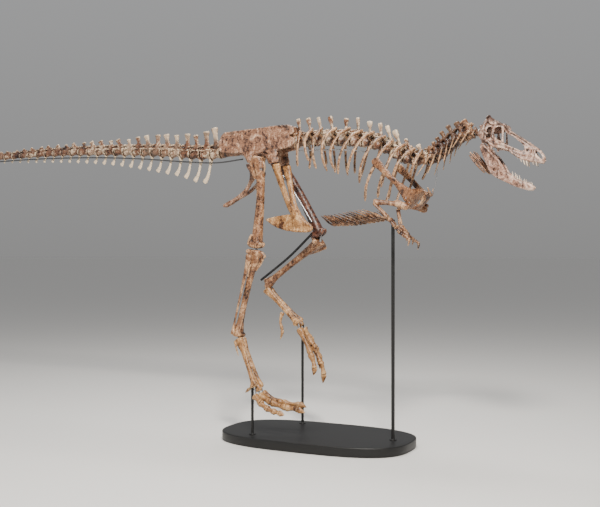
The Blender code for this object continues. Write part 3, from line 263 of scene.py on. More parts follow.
def node_group(name, kind, inputs, outputs):
    """New node group with its sockets, given as {name: type}, and its two ends."""
    tree = bpy.data.node_groups.new(name, kind)
    for way, sockets in (("INPUT", inputs), ("OUTPUT", outputs)):
        for label, socket in sockets.items():
            tree.interface.new_socket(label, in_out=way, socket_type="NodeSocket" + socket)
    return tree, tree.nodes.new("NodeGroupInput"), tree.nodes.new("NodeGroupOutput")


def add_node(tree, kind, **inputs):
    """Adds a node and sets its unlinked sockets by name."""
    node = tree.nodes.new(kind)
    for key, value in inputs.items():
        node.inputs[key.replace("_", " ")].default_value = value
    return node


def wire(tree, *joins):
    """Links nodes; each join is (from node, its output, to node, its input)."""
    for giver, out, taker, into in joins:
        tree.links.new(giver.outputs[out], taker.inputs[into])


def grown(item, name, tree, values):
    """Runs a node tree with its named inputs on an object and keeps the plain result as name."""
    modifier = item.modifiers.new("grow", "NODES")
    modifier.node_group = tree
    for socket in tree.interface.items_tree:
        if socket.name in values and socket.in_out == "INPUT":
            modifier[socket.identifier] = values[socket.name]
    mesh = evaluated_mesh(item)
    bpy.data.objects.remove(item, do_unlink=True)
    return add_object(name, mesh)


def clouds(name, size, depth):
    texture = bpy.data.textures.get(name) or bpy.data.textures.new(name, "CLOUDS")
    texture.noise_scale = size
    texture.noise_depth = depth
    return texture


def relief(item, texture, strength):
    modifier = item.modifiers.new("relief", "DISPLACE")
    modifier.texture = texture
    modifier.texture_coords = "LOCAL"
    modifier.strength = strength
    modifier.mid_level = 0.5


# Every voxel is this much coarser than the size asked for, which keeps the triangle count down
COARSER = 1.18
LUMPS = clouds("bone_lumps", 0.055, 2)
GRAIN = clouds("bone_grain", 0.014, 3)


def fused(name, sketch, voxel=0.0035, smooth=4, lumps=0.004, grain=0.0022):
    """Fuses a sketch into one skin, rounds it and roughens it a little."""
    item = add_object(name, to_mesh(sketch, name))
    modifier = item.modifiers.new("fuse", "REMESH")
    modifier.mode = "VOXEL"
    modifier.voxel_size = voxel * COARSER
    modifier = item.modifiers.new("round", "SMOOTH")
    modifier.factor = 0.5
    modifier.iterations = smooth
    relief(item, LUMPS, lumps)
    relief(item, GRAIN, grain)
    return applied(item)


def tapered(path, radii, count):
    """Smooth curve through path with a smoothly changing radius, as (points, radii)."""
    rows = spline([(*p, r) for p, r in zip(path, radii)], count)
    return [row[:3] for row in rows], [max(float(row[3]), 0.001) for row in rows]


def sketch_rods(name, rods, flatness, sides, material_name):
    """Sweeps curves with a radius at each point through Geometry Nodes; rods are (points, radii)."""
    curve = bpy.data.curves.new(name + "_line", "CURVE")
    curve.dimensions = "3D"
    for points, radii in rods:
        line = curve.splines.new("POLY")
        line.points.add(len(points) - 1)
        for point, place, radius in zip(line.points, points, radii):
            point.co = (*place, 1.0)
            point.radius = radius
    return grown(add_object(name + "_line", curve), name, sweep_tree(), {
        "Flatness": flatness, "Sides": sides, "Material": bpy.data.materials[material_name]})


def sweep_tree():
    """Node tree: curve with radii to a closed, smooth, slightly flattened bar."""
    if "Swept Bar" in bpy.data.node_groups:
        return bpy.data.node_groups["Swept Bar"]
    tree, source, target = node_group(
        "Swept Bar", "GeometryNodeTree",
        {"Geometry": "Geometry", "Flatness": "Float", "Sides": "Int", "Material": "Material"},
        {"Geometry": "Geometry"})
    circle = add_node(tree, "GeometryNodeCurvePrimitiveCircle", Radius=1.0)
    scale = add_node(tree, "ShaderNodeCombineXYZ", X=1.0, Z=1.0)
    shape = add_node(tree, "GeometryNodeTransform")
    sweep = add_node(tree, "GeometryNodeCurveToMesh", Fill_Caps=True)
    smooth = add_node(tree, "GeometryNodeSetShadeSmooth")
    real = add_node(tree, "GeometryNodeRealizeInstances")
    finish = add_node(tree, "GeometryNodeSetMaterial")
    wire(tree, (source, "Sides", circle, "Resolution"), (source, "Flatness", scale, "Y"),
         (circle, "Curve", shape, "Geometry"), (scale, "Vector", shape, "Scale"),
         (source, "Geometry", sweep, "Curve"), (shape, "Geometry", sweep, "Profile Curve"),
         (sweep, "Mesh", smooth, "Geometry"), (smooth, "Geometry", real, "Geometry"),
         (real, "Geometry", finish, "Geometry"), (source, "Material", finish, "Material"),
         (finish, "Geometry", target, "Geometry"))
    if "Scale" in sweep.inputs:
        wire(tree, (add_node(tree, "GeometryNodeInputRadius"), 0, sweep, "Scale"))
    return tree


# ---- backbone line --------------------------------------------------------------------------

# Height of the centrum line over x, from the tail tip to the skull
COLUMN = mm([(-4760, 2580), (-4200, 2606), (-3340, 2628), (-2840, 2630), (-2390, 2620), (-1740, 2586),
             (-1450, 2562), (-1130, 2532), (-930, 2538), (-500, 2575), (-180, 2591), (20, 2591), (260, 2577),
             (460, 2551), (576, 2515), (681, 2464), (768, 2412), (855, 2382), (940, 2376), (1024, 2388),
             (1091, 2418), (1158, 2467), (1215, 2512), (1272, 2545), (1330, 2562), (1420, 2590)])
TAIL_TIP_X = -4.75
TAIL_ROOT_X = -0.95
SACRUM_FRONT_X = -0.2
NECK_ROOT_X = 1.0
NECK_END_X = 1.372
TAIL_COUNT = 35
# Tail pieces: first and last vertebra, voxel, and how much of the relief stays
TAIL_LENGTHS = ((0, 9, 0.0034, 1.0), (9, 18, 0.0029, 0.8), (18, 27, 0.0024, 0.6), (27, 35, 0.002, 0.45))
CHEVRON_END = 31
SACRAL_COUNT = 5
DORSAL_JOINTS = mm((-200, -107, -9, 92.5, 205, 320, 426.5, 526.5, 617.5, 702.5, 790, 887.5, 1000))
NECK_COUNT = 7
NECK_SPLIT = 4


def column_z(x):
    """Height of the backbone's centre line at x."""
    for k in range(len(COLUMN) - 1):
        if x <= COLUMN[k + 1][0] or k == len(COLUMN) - 2:
            break
    x0, z0 = COLUMN[k]
    x1, z1 = COLUMN[k + 1]
    xa, za = COLUMN[max(k - 1, 0)]
    xb, zb = COLUMN[min(k + 2, len(COLUMN) - 1)]
    span = x1 - x0
    m0 = (z1 - za) / (x1 - xa) * span
    m1 = (zb - z0) / (xb - x0) * span
    t = (x - x0) / span
    return ((2 * t ** 3 - 3 * t * t + 1) * z0 + (t ** 3 - 2 * t * t + t) * m0
            + (3 * t * t - 2 * t ** 3) * z1 + (t ** 3 - t * t) * m1)


def column_steps(start, end, count):
    """Joints that divide the backbone between two x into lengths equal along the curve."""
    fine = 400
    xs = [lerp(start, end, i / fine) for i in range(fine + 1)]
    run = [0.0]
    for a, b in zip(xs, xs[1:]):
        run.append(run[-1] + math.hypot(b - a, column_z(b) - column_z(a)))
    joints = []
    k = 0
    for i in range(count + 1):
        goal = run[-1] * i / count
        while k < fine - 1 and run[k + 1] < goal:
            k += 1
        joints.append(lerp(xs[k], xs[k + 1], (goal - run[k]) / (run[k + 1] - run[k])))
    return joints


class Spot:
    """Place on the backbone with its forward, sideways and upward directions."""

    def __init__(self, x):
        step = 0.01
        self.x = x
        self.point = Vector((x, 0, column_z(x)))
        self.forward = Vector((2 * step, 0, column_z(x + step) - column_z(x - step))).normalized()
        self.up = Vector((-self.forward.z, 0, self.forward.x))

    def at(self, fore, side, up):
        return self.point + self.forward * fore + Vector((0, side, 0)) + self.up * up


TAIL_JOINTS = column_steps(TAIL_ROOT_X, TAIL_TIP_X, TAIL_COUNT)
SACRAL_JOINTS = column_steps(TAIL_ROOT_X, SACRUM_FRONT_X, SACRAL_COUNT)
NECK_JOINTS = column_steps(NECK_ROOT_X, NECK_END_X, NECK_COUNT)


def tail_size(x):
    """Half size of the tail's centra, from the root to the tip."""
    share = (x - TAIL_ROOT_X) / (TAIL_TIP_X - TAIL_ROOT_X)
    return ramp(share, ((0, 0.05), (0.15, 0.045), (0.35, 0.036), (0.6, 0.028), (0.85, 0.02), (1, 0.009)))


def dorsal_size(x):
    return ramp(x, ((-0.2, 0.047), (0.5, 0.044), (1.0, 0.038)))


def neck_size(x):
    return ramp(x, ((NECK_ROOT_X, 0.038), (NECK_END_X, 0.033)))


# ---- vertebrae ------------------------------------------------------------------------------

def centrum(sketch, a, b, size, waist, gap=0.0025):
    """Spool between two joints with raised rims and drawn-in sides."""
    low, high = sorted((a, b))
    length = high - low
    rows = []
    for share, girth in ((0, 0.9), (0.05, 1.0), (0.16, 0.97), (0.34, lerp(waist, 1, 0.25)), (0.5, waist),
                         (0.66, lerp(waist, 1, 0.25)), (0.84, 0.97), (0.95, 1.0), (1, 0.9)):
        spot = Spot(lerp(low + gap, high - gap, share))
        half = size(spot.x) * girth
        rows.append((*spot.point, half, half * 1.12))
    sketch.loft(rows, (0, 0, 1), 20, length / 12)


def neural_arch(sketch, spot, size, length, top, reach=0.62):
    """Pedestal over the centrum with the paired joint processes in front and behind."""
    rows = []
    for level, across, along in ((0.55, 0.62, 0.4), (1.0, 0.52, 0.36), (1.35, 0.5, 0.34), (top, 0.3, 0.28)):
        rows.append((*spot.at(0, 0, size * level), size * across, length * along))
    sketch.loft(rows, spot.forward, 12, 0.006)
    thick = size * 0.24
    for side in (RIGHT, LEFT):
        sketch.rod([spot.at(length * 0.15, side * size * 0.3, size * 1.25),
                    spot.at(length * 0.42, side * size * 0.42, size * 1.36),
                    spot.at(length * reach, side * size * 0.44, size * 1.52)],
                   [thick, thick * 0.9, thick * 0.75], 0.8)
        sketch.rod([spot.at(-length * 0.12, side * size * 0.22, size * 1.45),
                    spot.at(-length * 0.4, side * size * 0.3, size * 1.52),
                    spot.at(-length * (reach - 0.04), side * size * 0.34, size * 1.62)],
                   [thick, thick * 0.85, thick * 0.7], 0.9)


def spine_blade(sketch, spot, foot, rise, lean, width, thick, club=1.0):
    """Neural spine: a thin blade, narrow above its foot and thickened at its blunt top."""
    rows = []
    for share, along, across in ((0, 1.15, 1.7), (0.18, 0.86, 1.0), (0.45, 0.74, 0.8), (0.72, 0.84, 0.95),
                                 (0.88, 1.0 * club, 1.35), (0.97, 1.0 * club, 1.45), (1, 0.8 * club, 1.0)):
        level = lerp(foot, rise, share)
        rows.append((*spot.at(-lean * share, 0, level), thick * across, width * 0.5 * along))
    sketch.loft(rows, spot.forward, 14, 0.006, 0.8)


def side_process(sketch, spot, side, level, reach, width, thick, rise, sweep):
    """Transverse process: a flat bar with a blunter end."""
    rows = []
    for share, along, deep in ((0, 1.35, 1.5), (0.35, 0.85, 1.0), (0.75, 0.8, 0.95), (0.93, 1.0, 1.2),
                               (1, 0.7, 0.8)):
        place = spot.at(-sweep * share, side * reach * share, level + rise * share)
        rows.append((*place, width * 0.5 * along, thick * 0.5 * deep))
    sketch.loft(rows, spot.up, 12, 0.006)


def chevron(sketch, joint, share):
    """Haemal blade under a joint: forked at the top, curved back, broadest near its foot."""
    place = Spot(joint).point
    size = tail_size(joint)
    drop = size + ramp(share, ((0, 0.14), (0.03, 0.215), (0.06, 0.2), (0.1, 0.165), (0.2, 0.132),
                               (0.3, 0.092), (0.45, 0.066), (0.7, 0.034), (1, 0.014)))
    broad = ramp(share, ((0, 0.024), (0.5, 0.019), (1, 0.009)))
    thick = ramp(share, ((0, 0.012), (1, 0.005)))
    rows = []
    for fall, back, wide, deep in ((0.1, 0.02, 0.7, 1.2), (0.3, 0.03, 0.52, 1.0), (0.55, 0.08, 0.55, 0.9),
                                   (0.78, 0.15, 0.78, 0.95), (0.93, 0.235, 1.0, 1.0), (1.0, 0.275, 0.8, 0.7)):
        centre = (place.x - drop * back - 0.01, 0, place.z - lerp(size * 0.98, drop, fall))
        rows.append((*centre, thick * deep, broad * wide))
    sketch.loft(rows, (1, 0, 0), 12, 0.005)
    for side in (RIGHT, LEFT):
        sketch.rod([(place.x - 0.008, side * size * 0.5, place.z - size * 0.92),
                    (place.x - 0.01, side * size * 0.3, place.z - lerp(size, drop, 0.1)),
                    (place.x - 0.012, 0, place.z - lerp(size, drop, 0.24))],
                   [thick * 0.9, thick * 0.85, thick * 0.8], 1.0, (1, 0, 0))


def tail_vertebra(sketch, k):
    share = k / (TAIL_COUNT - 1)
    a, b = TAIL_JOINTS[k], TAIL_JOINTS[k + 1]
    spot = Spot((a + b) / 2)
    size = tail_size(spot.x)
    length = a - b
    centrum(sketch, a, b, tail_size, ramp(share, ((0, 0.72), (1, 0.8))), ramp(share, ((0, 0.0055), (1, 0.0025))))
    rise = ramp(share, ((0, 0.235), (0.05, 0.19), (0.2, 0.155), (0.3, 0.112), (0.5, 0.076),
                        (0.75, 0.04), (1, 0.02)))
    if k < CHEVRON_END:
        neural_arch(sketch, spot, size, length, ramp(share, ((0, 1.9), (1, 1.5))),
                    ramp(share, ((0, 0.48), (0.5, 0.6), (1, 0.56))))
    if k < 30:
        uneven = math.sin(k * 2.7) * 0.5 + math.sin(k * 5.3 + 1) * 0.5
        width = ramp(share, ((0, 0.056), (0.3, 0.05), (0.8, 0.044))) * (1 + 0.2 * uneven)
        thick = ramp(share, ((0, 0.014), (1, 0.0055)))
        lean = ramp(share, ((0, 0.016), (0.3, 0.026), (1, 0.034))) * (1 + 0.5 * math.sin(k * 3.9))
        rise *= 1 - 0.1 * max(-uneven, 0)
        spine_blade(sketch, spot, size * 1.3, max(rise, size * 1.7), lean,
                    width, thick, ramp(share, ((0, 1.05), (0.4, 0.95), (1, 0.7))))
    if k < 13:
        reach = ramp(share, ((0, 0.135), (0.4, 0.06)))
        for side in (RIGHT, LEFT):
            side_process(sketch, spot, side, size * 0.6, reach, length * 0.22, 0.012, -0.006, 0.03)


def neck_vertebra(sketch, k):
    share = k / (NECK_COUNT - 1)
    a, b = NECK_JOINTS[k], NECK_JOINTS[k + 1]
    spot = Spot((a + b) / 2)
    size = neck_size(spot.x)
    length = (Spot(b).point - Spot(a).point).length
    centrum(sketch, a, b, lambda x: neck_size(x) * 1.22, 0.84, 0.003)
    neural_arch(sketch, spot, size * 1.55, length * 1.15, 1.75, 0.6)
    rise = ramp(share, ((0, 0.105), (0.5, 0.14), (0.67, 0.145), (0.83, 0.132), (1, 0.125)))
    lean = ramp(share, ((0.6, -0.01), (0.83, 0.022), (1, 0.03)))
    spine_blade(sketch, spot, size * 1.3, rise, lean, ramp(share, ((0, 0.032), (0.6, 0.04), (0.83, 0.052),
                                                                   (1, 0.07))),
                0.019, 0.92)
    reach = ramp(share, ((0, 0.19), (1, 0.11)))
    for side in (RIGHT, LEFT):
        side_process(sketch, spot, side, size * 0.95, 0.074, length * 0.7, 0.026, -0.022, 0.004)
        root = spot.at(0, side * 0.066, 0.012)
        back = (Vector((0, side * 0.12, 0)) - spot.forward * 0.75 - spot.up * 0.62).normalized()
        sketch.rod([spot.at(0.006, side * size * 0.8, -size * 0.35), root + back * 0.004, root + back * reach * 0.3,
                    root + back * reach * 0.65, root + back * reach], [0.013, 0.014, 0.01, 0.007, 0.004], 0.75,
                   spot.up)
        sketch.rod([spot.at(-0.004, side * 0.068, size * 0.75), root, root - back * 0.024],
                   [0.01, 0.01, 0.004], 0.8, spot.forward)


def ring_bone(sketch):
    """First neck bone: a short knobbly ring about the steel between neck and skull."""
    spot = Spot(NECK_END_X)
    place = Matrix.Translation(spot.point)
    rows = []
    for x, half in ((0.005, 0.022), (0.008, 0.03), (0.018, 0.032), (0.028, 0.029), (0.031, 0.02)):
        rows.append((*(place @ Vector((x, 0, x * 0.45))), half, half))
    sketch.loft(rows, (0, 0, 1), 18, 0.005)
    for side in (RIGHT, LEFT):
        sketch.rod([spot.at(0.016, side * 0.024, 0.01), spot.at(0.008, side * 0.04, 0.004),
                    spot.at(-0.012, side * 0.05, -0.018)], [0.011, 0.009, 0.005])
    sketch.knob(spot.at(0.018, 0, 0.036), (0.012, 0.013, 0.01))
    sketch.knob(spot.at(0.02, 0, -0.028), (0.011, 0.014, 0.009))


def sacral_vertebra(sketch, k):
    a, b = SACRAL_JOINTS[k], SACRAL_JOINTS[k + 1]
    spot = Spot((a + b) / 2)
    size = 0.047
    centrum(sketch, a, b, lambda x: size, 0.84, -0.002)
    neural_arch(sketch, spot, size, b - a, 1.9, 0.5)
    spine_blade(sketch, spot, size * 1.2, 0.134, 0, 0.12, 0.01, 1.05)
    for side in (RIGHT, LEFT):
        side_process(sketch, spot, side, 0.02, 0.06, 0.06, 0.03, 0.0, 0.0)


# Tops of the back spines, rear to front
SPINE_TOPS = mm([(-183, 2795), (-85, 2797), (11, 2795), (120, 2797), (272, 2770), (378, 2768), (484, 2731),
                 (576, 2709), (638, 2683), (703, 2641), (798, 2566), (905, 2512)])


def dorsal_vertebra(sketch, k):
    """Back vertebra: spool, arch, a spine with a paddle top, and arms that reach the ribs."""
    a, b = DORSAL_JOINTS[k], DORSAL_JOINTS[k + 1]
    spot = Spot((a + b) / 2)
    size = dorsal_size(spot.x)
    length = (Spot(b).point - Spot(a).point).length
    centrum(sketch, a, b, dorsal_size, 0.66, 0.005)
    neural_arch(sketch, spot, size, length, 1.9, 0.5)
    foot = spot.at(0, 0, size * 1.2)
    top = Vector((SPINE_TOPS[k][0], 0, SPINE_TOPS[k][1] - 0.003))
    wide = 0.021 + 0.004 * math.sin(k * 2.3)
    rows = []
    for share, along, across in ((0, 0.026, 0.018), (0.2, 0.017, 0.011), (0.42, 0.0125, 0.008),
                                 (0.58, 0.0135, 0.008), (0.7, wide * 0.88, 0.011), (0.84, wide, 0.013),
                                 (0.95, wide * 0.96, 0.014), (1, wide * 0.72, 0.01)):
        rows.append((*foot.lerp(top, share), across, along))
    sketch.loft(rows, (1, 0, 0), 14, 0.006, 0.8)
    head = Vector((RIBS[k][1][0], 0.068, RIBS[k][1][1] - 0.006))
    for side in (RIGHT, LEFT):
        mirror = Vector((1, side, 1))
        root = spot.at(0.004, 0.016, size * 1.4)
        middle = root.lerp(head, 0.5) + Vector((0, 0, 0.006))
        sketch.rod([root * mirror, middle * mirror, head * mirror], [0.02, 0.0145, 0.015], 0.62, (1, 0, 0.3))
        sketch.rod([spot.at(-0.006, side * 0.02, size * 0.7), root.lerp(head, 0.55) * mirror],
                   [0.008, 0.006], 0.7, (1, 0, 0))


# ---- ribs -----------------------------------------------------------------------------------

# Ribs of one side, rear to front: widest half width of the chest there, and the x and z of five
# points from the head of the rib to its tip
RIBS = mm([(130, (-127, 2673), (-132, 2595), (-127, 2518), (-128, 2443), (-130, 2364)),
           (200, (-10, 2688), (-29, 2614), (-24, 2541), (-11, 2467), (5, 2398)),
           (220, (79, 2690), (61, 2600), (62, 2504), (69, 2412), (83, 2329)),
           (245, (210, 2680), (179, 2610), (160, 2516), (163, 2412), (193, 2301)),
           (255, (335, 2672), (290, 2605), (249, 2502), (240, 2404), (256, 2319)),
           (265, (446, 2643), (401, 2582), (349, 2472), (318, 2366), (299, 2271)),
           (270, (548, 2625), (505, 2560), (455, 2462), (415, 2367), (381, 2281)),
           (272, (650, 2585), (602, 2517), (549, 2408), (512, 2304), (491, 2190)),
           (265, (716, 2548), (667, 2444), (620, 2316), (562, 2170), (537, 2043)),
           (250, (820, 2508), (770, 2435), (719, 2308), (669, 2180), (641, 2066)),
           (230, (903, 2470), (848, 2403), (803, 2320), (760, 2184), (729, 2058)),
           (170, (962, 2455), (950, 2402), (932, 2347), (910, 2287), (891, 2234))])
RIB_SPREADS = (0.0, 0.78, 1.0, 1.02, 0.9)


def rib(sketch, index, side):
    """Two-headed rib that sweeps out and back from its vertebra and hangs to a blunt tip."""
    spot = Spot((DORSAL_JOINTS[index] + DORSAL_JOINTS[index + 1]) / 2)
    spread, *places = RIBS[index]
    stations = [(x, max(share * spread, 0.072), z) for share, (x, z) in zip(RIB_SPREADS, places)]
    mirror = Vector((1, side, 1))
    path = [Vector(row) for row in spline(stations, 30)]
    rings = []
    for i, p in enumerate(path):
        t = i / (len(path) - 1)
        along = (path[min(i + 1, len(path) - 1)] - path[max(i - 1, 0)]).normalized()
        broad = ramp(t, ((0, 0.0135), (0.06, 0.019), (0.16, 0.0175), (0.35, 0.013), (0.7, 0.0115), (0.93, 0.0125),
                         (1, 0.007)))
        flat = ramp(t, ((0, 0.8), (0.3, 0.68), (1, 0.52)))
        face = Vector((1, 0, 0.2)) - along * along.dot(Vector((1, 0, 0.2)))
        face = face.normalized() * broad
        thin = along.cross(face) * flat
        ring = []
        for j in range(14):
            angle = 2 * math.pi * j / 14
            ring.append((p + face * math.cos(angle) + thin * math.sin(angle)) * mirror)
        rings.append(ring)
    sketch.rings(rings)
    head = spot.at(0.022, side * 0.034, 0.024)
    neck = path[4] * mirror
    sketch.rod([head, head.lerp(neck, 0.5) + Vector((0, 0, -0.004)), neck], [0.0135, 0.0095, 0.011], 0.8,
               (1, 0, 0.2))


# ---- hips -----------------------------------------------------------------------------------

ILIUM = mm([(-929, 2634), (-890, 2700), (-803, 2713), (-616, 2722), (-456, 2732), (-268, 2738), (-202, 2722),
            (-184, 2684), (-196, 2655), (-236, 2640), (-186, 2622), (-180, 2570), (-240, 2535), (-335, 2512),
            (-318, 2440), (-345, 2404), (-415, 2408), (-440, 2462), (-495, 2492), (-552, 2466), (-580, 2415),
            (-620, 2418), (-660, 2470), (-720, 2513), (-914, 2531)])
BOOT = mm([(-490, 1928), (-395, 1948), (-285, 1962), (-165, 1962), (-110, 1905), (-52, 1868), (-46, 1828),
           (-85, 1804), (-240, 1812), (-375, 1842), (-478, 1902)])


def ilium(side):
    """Long hip plate with a thick rim, a hooked front, a brow over the socket and two feet."""
    sketch = Sketch()

    def place(u, w, n):
        lean = ramp(w, ((2.4, 0.112), (2.52, 0.092), (2.74, 0.062)))
        return Vector((u, side * (lean + n), w))

    def bar(path, radii, n, flat=1.0):
        sketch.rod([place(u, w, n) for u, w in mm(path)], mm(radii), flat, (0, 1, 0))

    sketch.plate(ILIUM, 0.0095, place)
    bar([(-918, 2560), (-915, 2634), (-882, 2688), (-803, 2701), (-616, 2710), (-456, 2720), (-275, 2726),
         (-216, 2712), (-199, 2686)],
        [11, 13, 14, 13, 12, 13, 14, 12, 9], 0.002)
    bar([(-488, 2505), (-498, 2580), (-520, 2690)], [22, 15, 8], 0.004, 0.6)
    bar([(-335, 2462), (-375, 2496), (-440, 2512), (-520, 2508), (-575, 2482)],
        [10, 16, 17, 15, 9], 0.011)
    bar([(-730, 2522), (-800, 2528), (-905, 2541)], [13, 15, 12], -0.004)
    bar([(-205, 2612), (-194, 2590), (-205, 2562)], [9, 11, 9], 0)
    sketch.loft(sided([(-372, 98, 2530, 16, 40), (-376, 106, 2470, 24, 46), (-380, 111, 2414, 27, 36),
                       (-380, 111, 2406, 20, 28)], side),
                (1, 0, 0), 16)
    sketch.loft(sided([(-625, 98, 2520, 14, 34), (-608, 106, 2470, 22, 36), (-602, 110, 2424, 24, 24),
                       (-602, 110, 2416, 16, 16)], side),
                (1, 0, 0), 16)
    return sketch


def pubis(side):
    """Pubic shaft that runs down to its half of the long boot."""
    sketch = Sketch()
    sketch.loft(sided([(-347, 106, 2399, 20, 34), (-345, 105, 2385, 24, 41), (-330, 100, 2330, 21, 36),
                       (-295, 80, 2200, 19, 28), (-245, 48, 2040, 18, 28), (-200, 26, 1950, 17, 38),
                       (-185, 20, 1860, 14, 50)], side), (1, 0, 0), 14)

    def place(u, w, n):
        swell = ramp(u, ((-0.49, 0.55), (-0.3, 1.0), (-0.12, 0.8), (-0.046, 0.45)))
        return Vector((u, side * (0.0142 + n) * swell + side * 0.0004, w))

    sketch.plate(BOOT, 0.014, place)
    sketch.rod(sided([(-480, 10, 1918), (-375, 14, 1862), (-240, 16, 1828), (-90, 12, 1816), (-56, 8, 1840)], side),
               mm([9, 15, 16, 12, 8]), 0.9, (0, 1, 0))
    return sketch


def ischium(side):
    """Slender rod that sweeps back from the socket, with a thin flange near its top."""
    sketch = Sketch()
    sketch.loft(sided([(-612, 110, 2408, 17, 22), (-610, 109, 2395, 20, 26), (-588, 100, 2340, 13, 24),
                       (-612, 72, 2260, 11, 19), (-684, 42, 2178, 11, 18), (-790, 26, 2115, 10, 14),
                       (-900, 20, 2060, 11, 17), (-926, 19, 2049, 8, 10)], side),
                (1, 0, 0), 14)
    flange = mm([(-586, 2372), (-556, 2352), (-552, 2322), (-572, 2268), (-612, 2236), (-622, 2262), (-600, 2320)])
    sketch.plate(flange, 0.005, lambda u, w, n: Vector((u, side * (ramp(w, ((2.24, 0.066), (2.37, 0.102))) + n),
                                                        w)))
    return sketch


# ---- legs -----------------------------------------------------------------------------------

HIP_Z = 2.455
LEGS = {
    "right": {
        "hip": (-0.475, -0.195, HIP_Z), "knee": (-0.475, -0.21, 1.665),
        "shin": (-0.492, -0.212, 1.655), "ankle": (-0.645, -0.25, 0.905),
        "heel": (-0.618, -0.252, 0.89), "sole": (-0.412, -0.29, 0.445), "fibula": -0.01,
    },
    "left": {
        "hip": (-0.487, 0.195, HIP_Z), "knee": (-0.058, 0.215, 1.775),
        "shin": (-0.072, 0.217, 1.74), "ankle": (-0.655, 0.29, 1.33),
        "heel": (-0.645, 0.292, 1.3), "sole": (-0.295, 0.31, 0.96), "fibula": 0.03,
    },
}


def bone_frame(start, end, label):
    """Matrix that sets a bone drawn down -Z with its front at +X and its inner side at +Y."""
    start = Vector(start)
    axis = (start - Vector(end)).normalized()
    front = Vector((1, 0, 0.2) if label == "right" else (1, 0, 0.6))
    front = (front - axis * front.dot(axis)).normalized()
    inner = axis.cross(front) * (1 if label == "right" else -1)
    return Matrix.Translation(start) @ Matrix((front, inner, axis)).transposed().to_4x4()


def span(leg, top, foot):
    return (Vector(leg[top]) - Vector(leg[foot])).length


FORE = (1, 0, 0)


def femur(label):
    """Thigh bone: turned-in head, three trochanters, bowed shaft and two rollers at the knee."""
    leg = LEGS[label]
    length = span(leg, "hip", "knee")
    sketch = Sketch()
    sketch.loft([
        (-0.01, -0.01, 0.0, 0.02, 0.034), (-0.006, -0.008, -0.02, 0.032, 0.05),
        (0.008, -0.004, -0.07, 0.034, 0.05), (0.022, -0.001, -0.13, 0.034, 0.043),
        (0.03, 0.0, -0.22, 0.033, 0.037), (0.028, 0.0, -length * 0.5, 0.034, 0.037),
        (0.012, 0.0, -length * 0.74, 0.038, 0.044), (0.004, 0.0, -length + 0.105, 0.047, 0.048),
        (0.006, 0.0, -length + 0.05, 0.051, 0.04), (0.01, 0.0, -length + 0.018, 0.038, 0.026)],
        FORE, 20)
    sketch.loft(mm([(-2, 4, -44, 34, 32), (-6, 40, -34, 28, 27), (-8, 66, -24, 33, 34), (-9, 88, -18, 33, 34),
                    (-10, 104, -15, 18, 20)]), (0, 0, 1), 16)
    sketch.knob((-0.016, -0.022, -0.012), (0.034, 0.02, 0.022))
    sketch.loft(mm([(-40, -18, -14, 18, 18), (-48, -14, -55, 22, 24), (-40, -10, -115, 18, 24),
                    (-16, -6, -190, 12, 16)]), FORE, 12)
    sketch.loft(mm([(52, -14, -42, 9, 14), (62, -12, -78, 12, 20), (60, -9, -122, 11, 18), (52, -6, -165, 8, 8)]),
                FORE, 12)
    sketch.loft(mm([(-6, 20, -200, 7, 8), (-16, 24, -250, 9, 14), (-10, 20, -310, 7, 8)]), FORE, 12)
    for y, wide, back in ((0.03, 0.023, -0.078), (-0.031, 0.024, -0.07)):
        sketch.loft([(0.05, y * 0.8, -length + 0.05, wide * 0.7, 0.02),
                     (0.03, y * 0.9, -length + 0.03, wide, 0.028), (-0.01, y, -length + 0.032, wide, 0.032),
                     (-0.048, y, -length + 0.044, wide, 0.032), (back, y, -length + 0.056, wide * 0.7, 0.02)],
                    (0, 0, 1), 14)
    sketch.loft([(-0.03, -0.046, -length + 0.12, 0.006, 0.01), (-0.048, -0.05, -length + 0.07, 0.01, 0.014),
                 (-0.06, -0.046, -length + 0.036, 0.01, 0.014)], FORE, 10)
    return sketch.placed(bone_frame(leg["hip"], leg["knee"], label))


